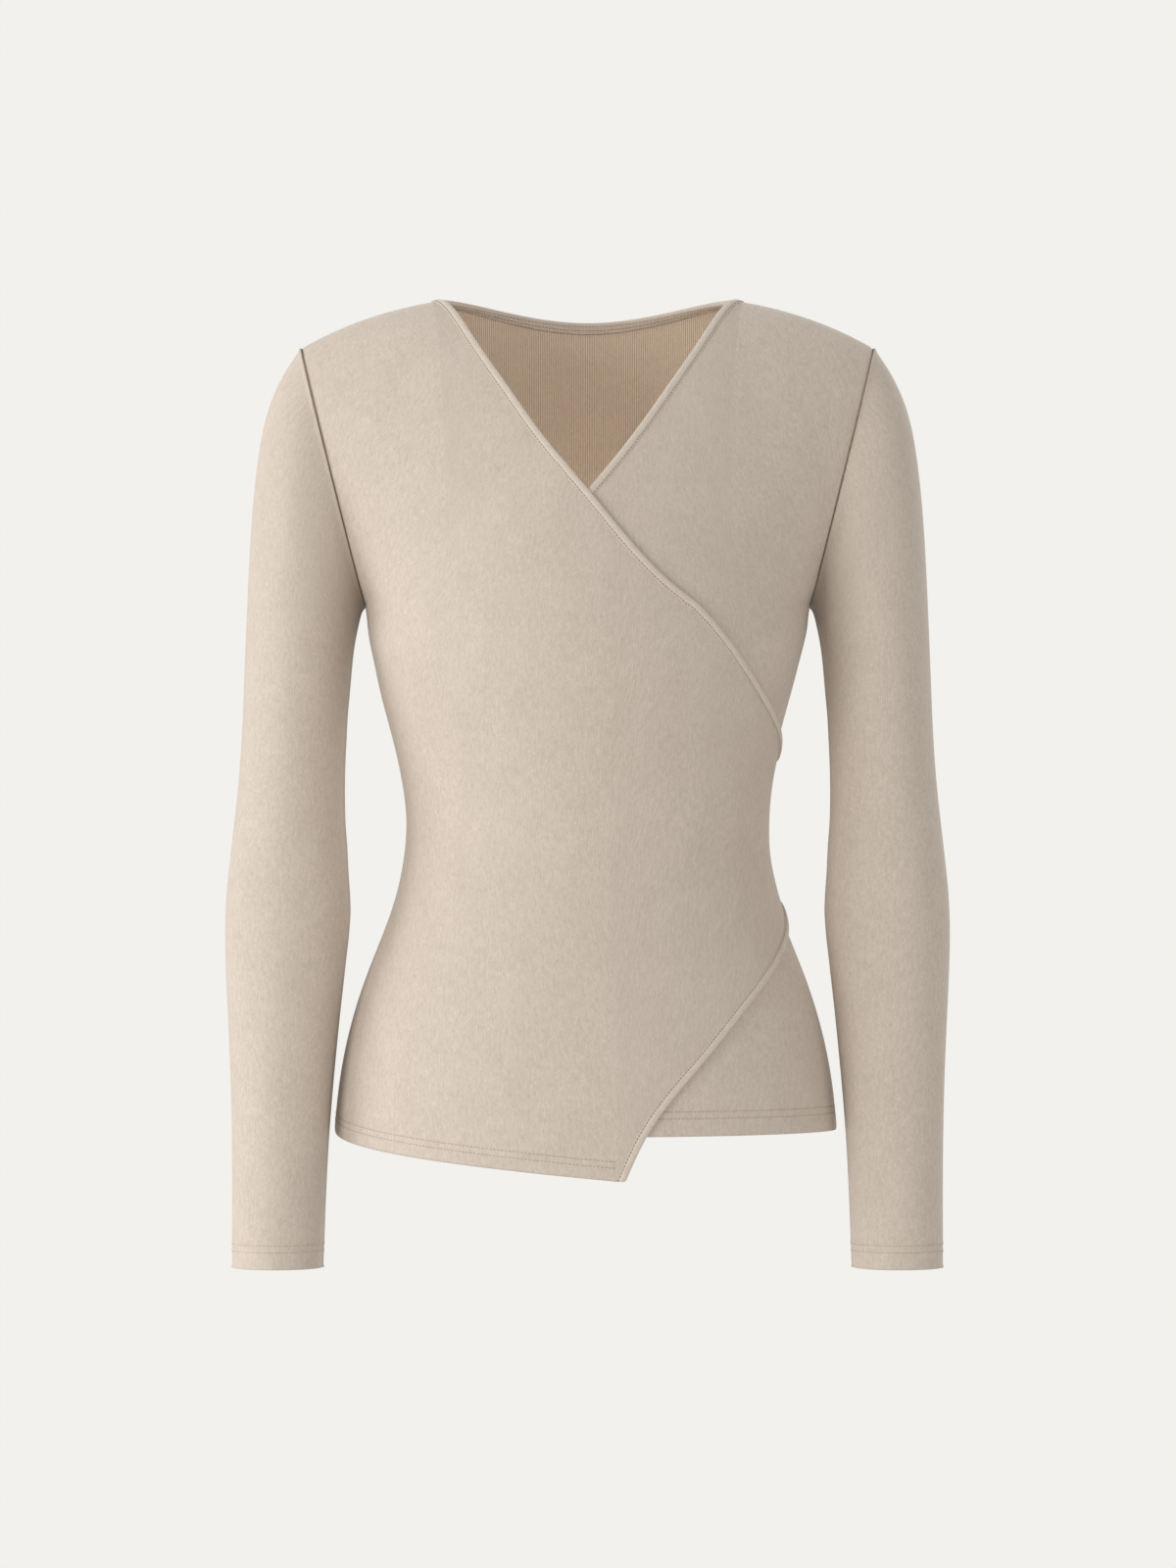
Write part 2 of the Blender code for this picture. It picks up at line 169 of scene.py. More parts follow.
Trunk = namedtuple("Trunk", "z half_width front_depth back_depth")
TRUNK = (
    Trunk(-585, 164.0, 113, 112),
    Trunk(-541, 162.8, 114, 111),
    Trunk(-493, 156.8, 114, 107),
    Trunk(-442, 142.3, 109, 96),
    Trunk(-404, 127.6, 102, 84),
    Trunk(-372, 118.8, 98, 77),
    Trunk(-340, 116.2, 98, 75),
    Trunk(-301, 121.4, 106, 77),
    Trunk(-262, 131.4, 120, 83),
    Trunk(-232, 139.2, 129, 88),
    Trunk(ARMPIT_Z, 146.0, CHEST_DEPTH, BACK_DEPTH),
)
Ring = namedtuple("Ring", "outer_x outer_z inner_x inner_z outer_y inner_y front_depth back_depth")
SLEEVE = (
    Ring(187.0, -31, 145.8, -199.0, 5, 12, 44, 48),
    Ring(197.5, -47, 146.6, -200.5, 5, 12, 47, 50),
    Ring(207.5, -69, 147.6, -202.5, 5, 11, 49, 51),
    Ring(214.5, -101, 148.8, -206.0, 5, 10, 50, 50),
    Ring(219.0, -145, 150.4, -213.0, 4, 9, 49, 49),
    Ring(221.5, -190, 152.8, -226.0, 4, 7, 48, 48),
    Ring(224.0, -252, 156.2, -262.0, 3, 5, 46, 46),
    Ring(226.4, -301, 158.6, -303.0, 2, 3, 44, 44),
    Ring(231.6, -353, 157.8, -353.0, 0, 0, 42, 43),
    Ring(235.6, -397, 155.2, -397.0, -3, -3, 41, 42),
    Ring(235.0, -442, 159.0, -442.0, -8, -8, 39, 40),
    Ring(232.4, -493, 164.2, -493.0, -14, -14, 37, 37),
    Ring(230.8, -545, 168.4, -545.0, -19, -19, 34, 34),
    Ring(230.4, -629, 171.8, -629.0, -26, -26, 31, 31),
)
Place = namedtuple("Place", "around z")
NECK_EDGE = (
    Place(-0.345, -29),
    Place(-0.258, -57),
    Place(-0.175, -82),
    Place(-0.094, -104),
    Place(0.010, -130),
    Place(0.195, -178),
    Place(0.375, -214),
    Place(0.620, -257),
    Place(1.0, -296),
)
WRAP_LOWER_EDGE = (
    Place(0.090, HEM_Z - WRAP_TIP_DROP),
    Place(0.142, -541),
    Place(0.206, -518),
    Place(0.294, -495),
    Place(0.410, -469),
    Place(0.613, -437),
    Place(1.0, -398),
)
print("The form is drawn from", len(TRUNK), "rows of the body and", len(SLEEVE), "rings of a sleeve")


# %% A smooth curve through a table
class Spline:
    """A natural cubic through rows of numbers, each row at its own place. It reads arrays of places."""

    def __init__(self, places, rows):
        self.places = np.asarray(places, float)
        self.rows = np.asarray(rows, float)
        count = len(self.places)
        gap = np.diff(self.places)
        slope = np.diff(self.rows, axis=0) / gap[:, None]
        matrix = np.eye(count)
        right = np.zeros_like(self.rows)
        for i in range(1, count - 1):
            matrix[i, i - 1:i + 2] = gap[i - 1], 2 * (gap[i - 1] + gap[i]), gap[i]
            right[i] = 6 * (slope[i] - slope[i - 1])
        self.bend = np.linalg.solve(matrix, right)

    def __call__(self, place):
        place = np.clip(place, self.places[0], self.places[-1])
        i = np.clip(np.searchsorted(self.places, place, "right") - 1, 0, len(self.places) - 2)
        gap = (self.places[i + 1] - self.places[i])[..., None]
        after = (place - self.places[i])[..., None] / gap
        before = 1 - after
        straight = before * self.rows[i] + after * self.rows[i + 1]
        bow = (before**3 - before) * self.bend[i] + (after**3 - after) * self.bend[i + 1]
        return straight + bow * gap**2 / 6


def along(points):
    """The distance from the first point of a line to each."""
    steps = np.linalg.norm(np.diff(np.asarray(points, float), axis=0), axis=1)
    return np.concatenate([[0], np.cumsum(steps)])


trunk_at = Spline([row.z for row in TRUNK], [row[1:] for row in TRUNK])
sleeve_length = along([((r.outer_x + r.inner_x) / 2, (r.outer_z + r.inner_z) / 2) for r in SLEEVE])
sleeve_at = Spline(sleeve_length, SLEEVE)
print("A sleeve is", round(sleeve_length[-1]), "mm long through its middle")


# %% Points of the form
SLOPE_STEP = 1e-3
SEAM_RISE = 180.0          # the rise of the shoulder seam
LAST_OPEN_RISE = 179.95    # just short of it, where the form still has a depth
LAST_SLOPED_RISE = 179.8   # and where its slopes can still be taken
EDGE_STEPS = 600


def ring_points(ring, degrees):
    """Points of sleeve rings, given as rows of numbers. 0 degrees is outermost, 90 in front."""
    outer_x, outer_z, inner_x, inner_z, outer_y, inner_y, front_depth, back_depth = np.moveaxis(ring, -1, 0)
    out, front = np.cos(np.radians(degrees)), np.sin(np.radians(degrees))
    depth = np.where(front > 0, front_depth, back_depth)
    x = (outer_x + inner_x) / 2 + (outer_x - inner_x) / 2 * out
    y = (outer_y + inner_y) / 2 + (outer_y - inner_y) / 2 * out - depth * front
    z = (outer_z + inner_z) / 2 + (outer_z - inner_z) / 2 * out
    return np.stack([x, y, z], axis=-1)


def body_points(face, around, rise):
    """Points of the body's form at arrays of places."""
    around, rise = np.broadcast_arrays(np.asarray(around, float), np.asarray(rise, float))
    forward = -1 if face == "front" else 1
    low_z = ARMPIT_Z + np.minimum(rise, 0)
    half_width, front_depth, back_depth = np.moveaxis(trunk_at(low_z), -1, 0)
    low_depth = front_depth if face == "front" else back_depth
    low_side = half_width * np.sqrt(1 - ((SIDE_SEAM_Y - SIDE_PLANE_Y) / low_depth) ** 2)

    passed = SEAM_RISE - np.clip(rise, 0, LAST_OPEN_RISE)
    share = passed / SEAM_RISE
    lean = LEAN_AT_SEAM * share * (1 - share) ** 2 + share**2 * (3 - 2 * share)
    lean = math.radians(90) * (lean - LEAN_AT_ARMPIT * share**2 * (1 - share))
    full, hollow = (CHEST_DEPTH, CHEST_HOLLOW) if face == "front" else (BACK_DEPTH, BACK_HOLLOW)
    high_depth = full * np.sin(lean) * (1 - hollow * np.sin(2 * lean))
    high_z = RIDGE_Z - (RIDGE_Z - ARMPIT_Z) * (1 - np.cos(lean))
    armhole = ring_points(np.asarray(SLEEVE[0], float), passed if face == "front" else -passed)

    high = rise > 0
    side_x = np.where(high, armhole[..., 0], low_side)
    side_y = np.where(high, armhole[..., 1], SIDE_SEAM_Y)
    side_z = np.where(high, armhole[..., 2], low_z)
    depth = np.where(high, high_depth, low_depth)
    centre_z = np.where(high, high_z, low_z)
    turn = np.arccos(np.clip((side_y - SIDE_PLANE_Y) * forward / depth, -1, 1))
    share = np.sin(around * turn) / np.sin(turn)
    x = side_x * share
    y = SIDE_PLANE_Y + forward * depth * np.cos(around * turn)
    z = side_z + (centre_z - side_z) * (1 - np.abs(share) ** 3)
    return np.stack([x, y, z], axis=-1)


def body_slopes(face, around, rise):
    """How the point moves for a step around and for a step of rise."""
    rise = np.minimum(rise, LAST_SLOPED_RISE)
    step = SLOPE_STEP
    across = body_points(face, around + step, rise) - body_points(face, around - step, rise)
    up = body_points(face, around, rise + step) - body_points(face, around, rise - step)
    return across / (2 * step), up / (2 * step)


def unit(vectors):
    return vectors / np.linalg.norm(vectors, axis=-1, keepdims=True)


def outward(face, around, rise):
    across, up = body_slopes(face, around, rise)
    return unit(np.cross(across, up)) * (1 if face == "front" else -1)


print("The chest stands", round(SIDE_PLANE_Y - body_points("front", 0.0, 0.0)[1]), "mm before the sides")


# %% Edges on the form
BINDING_WIDTH = 5.6
PANEL_TUCK = 1.4        # how far a panel's edge goes into its binding


def bisect(low, high, is_low, halvings=40):
    """The place between low and high at which a test stops holding."""
    for _ in range(halvings):
        middle = (low + high) / 2
        if is_low(middle):
            low = middle
        else:
            high = middle
    return (low + high) / 2


def rise_at(face, around, z):
    """The rise at which the form passes a height."""
    if z <= ARMPIT_Z:
        return z - ARMPIT_Z
    return bisect(0.0, SEAM_RISE, lambda rise: body_points(face, around, rise)[2] < z)


def neck_around(face):
    """The place around at which the shoulder seam meets the neckline."""
    return bisect(0.0, 1.0, lambda around: body_points(face, around, SEAM_RISE)[0] < NECK_HALF_WIDTH)


def edge_path(places, ends_at_neck):
    """An edge of the wrap front as closely spaced places, from the table's few."""
    points = [(p.around, rise_at("front", p.around, p.z)) for p in places]
    if ends_at_neck:
        points.insert(0, (-neck_around("front"), SEAM_RISE))
    points = np.array(points)
    smooth = Spline(along(body_points("front", points[:, 0], points[:, 1])), points)
    return smooth(np.linspace(0, smooth.places[-1], EDGE_STEPS))


def shifted(path, distance):
    """A path moved sideways on the form: to the left of its course, seen from outside."""
    spots = body_points("front", path[:, 0], path[:, 1])
    course = unit(np.gradient(spots, axis=0))
    across, up = body_slopes("front", path[:, 0], path[:, 1])
    aside = np.cross(unit(np.cross(across, up)), course) * distance
    a, b, c = (across * across).sum(-1), (across * up).sum(-1), (up * up).sum(-1)
    p, q = (across * aside).sum(-1), (up * aside).sum(-1)
    scale = a * c - b * b
    return path + np.stack([(p * c - q * b) / scale, (q * a - p * b) / scale], axis=1)


def place_on(path, index):
    """The place at an index of a path, which may fall between its points or a little past its ends."""
    i = min(max(int(index), 0), len(path) - 2)
    return path[i] + (path[i + 1] - path[i]) * (index - i)


def index_where(path, measure):
    """The index at which a measure of a path's places passes zero, a little past its ends too."""
    values = [measure(place) for place in path]
    crossings = [i for i in range(len(path) - 1) if values[i] * values[i + 1] <= 0]
    i = 0 if abs(values[0]) < abs(values[-1]) else len(path) - 2
    if crossings:
        i = crossings[0]
    return i + values[i] / (values[i] - values[i + 1])


def at_shoulder(place):
    return place[1] - SEAM_RISE


def at_left_seam(place):
    return place[0] - 1


def wrap_hem_rise(around):
    """The wrap front's hem runs straight from its side seam down to its point."""
    tip = WRAP_LOWER_EDGE[0].around
    return HEM_RISE - WRAP_TIP_DROP * (around + 1) / (tip + 1)


def at_wrap_hem(place):
    return place[1] - wrap_hem_rise(place[0])


def trimmed(path, first, last, count=500):
    """A path between two measures' zeros, as evenly indexed places."""
    ends = index_where(path, first), index_where(path, last)
    return np.array([place_on(path, i) for i in np.linspace(*ends, count)])


neck_edge = edge_path(NECK_EDGE, True)
lower_edge = edge_path(WRAP_LOWER_EDGE, False)


def neck_line(inset):
    return trimmed(shifted(neck_edge, -inset), at_shoulder, at_left_seam)


def lower_line(inset):
    return trimmed(shifted(lower_edge, inset), at_wrap_hem, at_left_seam)


neck_panel = neck_line(BINDING_WIDTH - PANEL_TUCK)
lower_panel = lower_line(BINDING_WIDTH - PANEL_TUCK)
print("The wrap's neck edge is", round(along(body_points("front", *neck_edge.T))[-1]), "mm long")

# %% [markdown]
# ## The knit
#
# The yarn is spun from pale and darker fibres, so the cloth is a melange: soft flecks a millimetre or two
# across, drawn out along the wales, the upright columns of stitches. The face is brushed, which gives it a
# nap and a pale sheen at the edges. The wales show plainly on the inside, as bumps and with painted shade
# darkening the grooves between them. Both effects are shader groups that read the mesh's UV map, laid out
# in metres, so that they keep their real size on every piece.

# %% Helpers for shader groups
def new_group(name, inputs, outputs):
    """An empty shader group with value or colour sockets, and its two ends."""
    group = bpy.data.node_groups.new(name, "ShaderNodeTree")
    for socket, kind, default in inputs:
        item = group.interface.new_socket(name=socket, in_out="INPUT", socket_type=kind)
        item.default_value = default
    for socket, kind in outputs:
        group.interface.new_socket(name=socket, in_out="OUTPUT", socket_type=kind)
    return group, group.nodes.new("NodeGroupInput"), group.nodes.new("NodeGroupOutput")


def add_node(tree, kind, settings=None, **values):
    """A node with its settings, and with values on the sockets that are named."""
    node = tree.nodes.new(kind)
    for key, value in (settings or {}).items():
        setattr(node, key, value)
    for key, value in values.items():
        node.inputs[key].default_value = value
    return node


def maths(tree, operation, first, second):
    """A maths node between two values, each of them an output or a number."""
    node = add_node(tree, "ShaderNodeMath", {"operation": operation})
    for socket, value in zip(node.inputs, (first, second)):
        if isinstance(value, (int, float)):
            socket.default_value = value
        else:
            tree.links.new(value, socket)
    return node.outputs[0]


# %% Melange group
Fleck = namedtuple("Fleck", "across along detail weight")      # flecks a metre each way
FLECKS = (
    Fleck(1100, 420, 3, 0.5),
    Fleck(420, 150, 2, 0.36),
    Fleck(45, 30, 2, 0.14),
)
FLECK_CONTRAST = 3.2


def stretched_noise(tree, uv, scale_across, scale_along, detail):
    """Noise on the UV map with its own scale in each direction, in flecks a metre."""
    mapping = add_node(tree, "ShaderNodeMapping")
    mapping.inputs["Scale"].default_value = (scale_across, scale_along, 1)
    noise = add_node(tree, "ShaderNodeTexNoise", Scale=1.0, Detail=detail, Roughness=0.6)
    tree.links.new(uv, mapping.inputs["Vector"])
    tree.links.new(mapping.outputs[0], noise.inputs["Vector"])
    return noise.outputs["Fac"]


def melange_group():
    """Pale and dark fibres mixed in the yarn, as a colour."""
    group, start, end = new_group(
        "melange yarn",
        [("Pale", "NodeSocketColor", (0.66, 0.56, 0.46, 1)),
         ("Dark", "NodeSocketColor", (0.4, 0.32, 0.25, 1)),
         ("Strength", "NodeSocketFloat", 0.5)],
        [("Color", "NodeSocketColor"), ("Fleck", "NodeSocketFloat")])
    uv = add_node(group, "ShaderNodeUVMap", {"uv_map": "cloth"}).outputs[0]
    mixed = None
    for layer in FLECKS:
        noise = stretched_noise(group, uv, layer.across, layer.along, layer.detail)
        weighed = maths(group, "MULTIPLY", noise, layer.weight)
        mixed = maths(group, "ADD", mixed, weighed) if mixed else weighed
    centred = maths(group, "MULTIPLY", maths(group, "SUBTRACT", mixed, 0.5), FLECK_CONTRAST)
    fleck = maths(group, "ADD", maths(group, "MULTIPLY", centred, start.outputs["Strength"]), 0.5)
    mix = add_node(group, "ShaderNodeMix", {"data_type": "RGBA", "clamp_factor": True})
    group.links.new(fleck, mix.inputs["Factor"])
    group.links.new(start.outputs["Dark"], mix.inputs["A"])
    group.links.new(start.outputs["Pale"], mix.inputs["B"])
    group.links.new(mix.outputs["Result"], end.inputs["Color"])
    group.links.new(fleck, end.inputs["Fleck"])
    return group


# %% Wales group
def wales_group():
    """The columns of stitches, as a height: round ribs with the rows of loops across them, and a mask of the
    grooves between the ribs for painted shade.
    """
    group, start, end = new_group(
        "knit wales", [("Wale Width", "NodeSocketFloat", 0.0011), ("Row Height", "NodeSocketFloat", 0.0009)],
        [("Height", "NodeSocketFloat"), ("Groove", "NodeSocketFloat")])
    uv = add_node(group, "ShaderNodeUVMap", {"uv_map": "cloth"}).outputs[0]
    parts = add_node(group, "ShaderNodeSeparateXYZ")
    group.links.new(uv, parts.inputs[0])
    turns = maths(group, "DIVIDE", parts.outputs["X"], start.outputs["Wale Width"])
    rib = maths(group, "ABSOLUTE", maths(group, "SINE", maths(group, "MULTIPLY", turns, math.pi), 0), 0)
    rows = maths(group, "DIVIDE", parts.outputs["Y"], start.outputs["Row Height"])
    loops = maths(group, "ABSOLUTE", maths(group, "SINE", maths(group, "MULTIPLY", rows, math.pi), 0), 0)
    height = maths(group, "ADD", maths(group, "MULTIPLY", rib, 0.7), maths(group, "MULTIPLY", loops, 0.3))
    group.links.new(height, end.inputs["Height"])
    # The groove mask places the painted shade between the ribs.
    group.links.new(maths(group, "SUBTRACT", 1.0, rib), end.inputs["Groove"])
    return group


MELANGE = melange_group()
WALES = wales_group()
print("Shader groups:", MELANGE.name, "and", WALES.name)

# %% Knit materials
Knit = namedtuple("Knit", "name pale dark strength wale_width wale_depth groove_shade sheen")
# The inside's colours are paler than the face's, as painted light for the dim inside of the hollow top. The
# groove number darkens the colour between the wales, as painted shade, most of all on the inside.
KNITS = (
    Knit("jersey face", (0.72, 0.63, 0.545), (0.50, 0.425, 0.352), 0.75, 0.0011, 0.00008, 0.05, 0.35),
    Knit("jersey inside", (0.80, 0.665, 0.53), (0.56, 0.45, 0.345), 0.6, 0.0015, 0.00022, 0.25, 0.15),
    Knit("binding knit", (0.76, 0.67, 0.585), (0.56, 0.48, 0.40), 0.60, 0.0011, 0.00008, 0.05, 0.35),
)
NAP_DEPTH = 0.00012


def knit_material(knit):
    """Melange colour and a soft sheen, with painted shade darkening the grooves between the wales. Its bump
    is the wales and, finer, the nap.
    """
    material = bpy.data.materials.new(knit.name)
    material.use_nodes = True
    tree = material.node_tree
    shader = tree.nodes["Principled BSDF"]
    shader.inputs["Roughness"].default_value = 0.9
    shader.inputs["Specular IOR Level"].default_value = 0.2
    shader.inputs["Sheen Weight"].default_value = knit.sheen
    shader.inputs["Sheen Roughness"].default_value = 0.45
    shader.inputs["Sheen Tint"].default_value = (1.0, 0.96, 0.9, 1)
    yarn = add_node(tree, "ShaderNodeGroup", {"node_tree": MELANGE}, Strength=knit.strength)
    yarn.inputs["Pale"].default_value = (*knit.pale, 1)
    yarn.inputs["Dark"].default_value = (*knit.dark, 1)
    wales = add_node(tree, "ShaderNodeGroup", {"node_tree": WALES})
    wales.inputs["Wale Width"].default_value = knit.wale_width
    # Painted shade: the base colour is darkened in the grooves between the wales.
    shade = add_node(tree, "ShaderNodeMix", {"data_type": "RGBA", "blend_type": "MULTIPLY"})
    groove = 1 - knit.groove_shade * 2
    shade.inputs["B"].default_value = (groove, groove, groove, 1)
    tree.links.new(wales.outputs["Groove"], shade.inputs["Factor"])
    tree.links.new(yarn.outputs["Color"], shade.inputs["A"])
    tree.links.new(shade.outputs["Result"], shader.inputs["Base Color"])
    ribs = add_node(tree, "ShaderNodeBump", Distance=knit.wale_depth, Strength=1.0)
    nap = add_node(tree, "ShaderNodeBump", Distance=NAP_DEPTH, Strength=0.7)
    tree.links.new(wales.outputs["Height"], ribs.inputs["Height"])
    tree.links.new(yarn.outputs["Fleck"], nap.inputs["Height"])
    tree.links.new(ribs.outputs[0], nap.inputs["Normal"])
    tree.links.new(nap.outputs[0], shader.inputs["Normal"])
    return material


FACE, INSIDE, BINDING = (knit_material(knit) for knit in KNITS)
print("Knits:", ", ".join(knit.name for knit in KNITS))


# %% Sewing threads
def thread_material(name, colour):
    """Spun sewing thread, with a slight difference from stitch to stitch."""
    material = bpy.data.materials.new(name)
    material.use_nodes = True
    tree = material.node_tree
    shader = tree.nodes["Principled BSDF"]
    shader.inputs["Roughness"].default_value = 0.6
    shader.inputs["Sheen Weight"].default_value = 0.2
    place = add_node(tree, "ShaderNodeTexCoord")
    noise = add_node(tree, "ShaderNodeTexNoise", Scale=900.0, Detail=1.0)
    ramp = add_node(tree, "ShaderNodeMix", {"data_type": "RGBA"})
    ramp.inputs["A"].default_value = (*(c * 0.8 for c in colour), 1)
    ramp.inputs["B"].default_value = (*(min(1, c * 1.15) for c in colour), 1)
    tree.links.new(place.outputs["Object"], noise.inputs["Vector"])
    tree.links.new(noise.outputs["Fac"], ramp.inputs["Factor"])
    tree.links.new(ramp.outputs["Result"], shader.inputs["Base Color"])
    return material


THREAD = thread_material("sewing thread", (0.50, 0.40, 0.31))
PALE_THREAD = thread_material("overlock thread", (0.66, 0.57, 0.47))
# Painted shade: this thread is darker than the cloth and stands for the shadow in seams, stitched grooves
# and along the back neck band.
SEAM_SHADE_THREAD = thread_material("seam shadow thread", (0.27, 0.20, 0.15))
print("Threads:", ", ".join(thread.name for thread in (THREAD, PALE_THREAD, SEAM_SHADE_THREAD)))

# %% [markdown]
# ## Cloth from a grid
#
# A cut piece is a sheet, so its mesh is a grid of points. The grid's own normals move points off the form,
# for creases and seams, and Blender's Solidify modifier gives it the wall, with the inside as a second
# material.

# %% Sheet of cloth
WALL = 0.9


def grid_normals(points, closed=False):
    """Outward normals of a grid whose rows go up and whose points go towards the wearer's left."""
    across = np.gradient(points, axis=1)
    if closed:
        across = np.roll(points, -1, axis=1) - np.roll(points, 1, axis=1)
    return unit(np.cross(across, np.gradient(points, axis=0)))


def cloth_object(name, points, wall=WALL, closed=False, flip=False, materials=(FACE, INSIDE), offset=-1):
    """A sheet from a grid of points in millimetres, with a UV map in metres and a wall."""
    rows, columns = points.shape[:2]
    index = np.arange(rows * columns).reshape(rows, columns)
    nxt = np.roll(index, -1, axis=1) if closed else index[:, 1:]
    here = index if closed else index[:, :-1]
    quads = np.stack([here[:-1], nxt[:-1], nxt[1:], here[1:]], axis=-1).reshape(-1, 4)
    if flip:
        quads = quads[:, ::-1]
    mesh = bpy.data.meshes.new(name)
    mesh.from_pydata((points.reshape(-1, 3) * MM).tolist(), [], quads.tolist())
    width = np.linalg.norm(np.diff(points, axis=1), axis=-1)
    if closed:
        width = np.concatenate([width, np.linalg.norm(points[:, :1] - points[:, -1:], axis=-1)], axis=1)
    u = np.concatenate([np.zeros((rows, 1)), np.cumsum(width, axis=1)], axis=1)
    u = u - u[:, u.shape[1] // 2][:, None]
    height = np.linalg.norm(np.diff(points, axis=0), axis=-1)
    v = np.concatenate([np.zeros((1, columns)), np.cumsum(height, axis=0)], axis=0)
    v = np.concatenate([v, v[:, :1]], axis=1)
    uv = np.stack([u, v[:, :u.shape[1]]], axis=-1) * MM
    corners = np.stack([uv[:-1, :-1], uv[:-1, 1:], uv[1:, 1:], uv[1:, :-1]], axis=2)
    corners = corners.reshape(-1, 4, 2)
    if flip:
        corners = corners[:, ::-1]
    layer = mesh.uv_layers.new(name="cloth")
    layer.data.foreach_set("uv", corners.reshape(-1))
    for material in materials:
        mesh.materials.append(material)
    mesh.shade_smooth()
    piece = bpy.data.objects.new(name, mesh)
    scene.collection.objects.link(piece)
    shell = piece.modifiers.new("wall", "SOLIDIFY")
    shell.thickness = wall * MM
    shell.offset = offset
    shell.material_offset = 1 if len(materials) > 1 else 0
    shell.material_offset_rim = 0
    return piece


def sized(points, closed=False):
    """A sheet's widest row, longest column and area, in metres."""
    across = np.roll(points, -1, axis=1) - points if closed else np.diff(points, axis=1)
    up = np.diff(points, axis=0)
    width = np.linalg.norm(across, axis=-1).sum(axis=1).max() * MM
    length = np.linalg.norm(up, axis=-1).sum(axis=0).max() * MM
    count = min(across.shape[1], up.shape[1])
    cells = np.cross(across[:-1, :count], up[:, :count])
    area = np.linalg.norm(cells, axis=-1).sum() * MM * MM
    return width, length, min(area, width * length)


print("The cloth is", WALL, "mm thick")

# %% [markdown]
# ## Creases
#
# Worn jersey pulls in soft folds from the places that hold it: the armpits, the side seams at the waist, and
# the inside of the elbow. Each crease here is a line between two points of the front or the back as seen,
# with a depth in the middle that fades at both ends. A positive depth is a ridge and a negative one a
# trough.

# %% Crease table
CREASE_BOW = 0.08         # how far a crease bows aside, as a share of its length
CREASE_PEAK = 0.45        # where along it, as a share, it is deepest
CREASE_FADE = 0.62        # and how far from there it has faded out
Crease = namedtuple("Crease", "from_x from_z to_x to_z width depth")
FRONT_CREASES = (
    Crease(150, -196, 96, -226, 9, -2.2),
    Crease(148, -184, 106, -196, 7, 1.6),
    Crease(146, -210, 104, -250, 10, 1.4),
    Crease(-150, -192, -104, -214, 9, -1.6),
    Crease(-147, -208, -108, -238, 9, 1.1),
    Crease(118, -300, 30, -322, 13, -1.1),
    Crease(117, -336, 40, -352, 14, 1.2),
    Crease(118, -362, 48, -384, 12, -1.0),
    Crease(-116, -330, -50, -344, 14, -1.0),
    Crease(-118, -368, -44, -390, 15, 0.9),
    Crease(-100, -30, -128, -92, 15, -0.9),
    Crease(100, -34, 126, -96, 15, -0.9),
    Crease(-40, -440, -70, -530, 24, 1.0),
    Crease(60, -470, 30, -548, 20, 1.0),
)
BACK_CREASES = (
    Crease(146, -196, 100, -236, 10, -1.8),
    Crease(-148, -192, -98, -230, 11, -1.9),
    Crease(116, -322, 20, -334, 13, -1.5),
    Crease(-115, -344, -18, -352, 15, -1.4),
    Crease(117, -362, 34, -374, 14, 1.2),
    Crease(-117, -310, -42, -318, 12, 1.0),
    Crease(-20, -300, 26, -396, 26, -1.2),
    Crease(60, -460, 80, -536, 24, 1.1),
    Crease(-52, -452, -74, -536, 26, 1.0),
)
SLEEVE_CREASES = (
    Crease(160, -238, 190, -252, 8, -1.5),
    Crease(158, -262, 186, -282, 9, 1.2),
    Crease(157, -352, 196, -366, 9, -1.6),
    Crease(156, -374, 202, -388, 9, 1.5),
    Crease(156, -398, 198, -404, 8, -1.4),
    Crease(158, -424, 200, -436, 10, 1.1),
    Crease(231, -376, 205, -392, 10, -1.0),
    Crease(186, -560, 222, -574, 10, -0.7),
    Crease(176, -590, 214, -602, 9, 0.6),
)


def crease_lift(points, creases):
    """How far the creases move each point outwards, by its place seen from the front."""
    lift = np.zeros(points.shape[:-1])
    for c in creases:
        start = np.array([c.from_x, c.from_z])
        course = np.array([c.to_x, c.to_z]) - start
        length = np.linalg.norm(course)
        offset = points[..., (0, 2)] - start
        share = offset @ course / length**2
        aside = (offset @ np.array([-course[1], course[0]])) / length
        aside = aside + CREASE_BOW * length * np.sin(np.clip(share, 0, 1) * math.pi)
        ends = np.clip(1 - np.abs(share - CREASE_PEAK) / CREASE_FADE, 0, 1)
        lift += c.depth * np.exp(-(aside / c.width) ** 2) * ends * ends * (3 - 2 * ends)
    return lift


print("Creases:", len(FRONT_CREASES), "in front,", len(BACK_CREASES), "behind")


# %% [markdown]
# ## Layers and hems
#
# Under the wrap front lies the left front, so the wrap stands off the form by one layer and a little air,
# and settles onto it above the crossing. At a seam the cloth turns in, which draws a fine groove, and a hem
# is slightly thicker, with a shallow trough along its stitches.

# %% Lift of the layers
LAYER_LIFT = 2.4
CLIMB_START = 24.0
CLIMB = 60.0
SEAM_DIP = 0.75
SEAM_DIP_WIDTH = 2.0
HEM_ROWS = (11.5, 16.0)      # heights of the hems' two rows of stitches above the edge
WRAP_HEM_ROWS = (8.5, 12.5)
CUFF_ROWS = (11.0, 15.5)
ROW_DIP = 0.28
ROW_DIP_WIDTH = 1.1
FOLD_DROP = 0.5              # how far the hem's fold turns in at the edge
FOLD_ROUND = 1.2
HEM_SWELL = 0.12             # what the turned hem adds


def smooth_step(share):
    share = np.clip(share, 0, 1)
    return share * share * (3 - 2 * share)


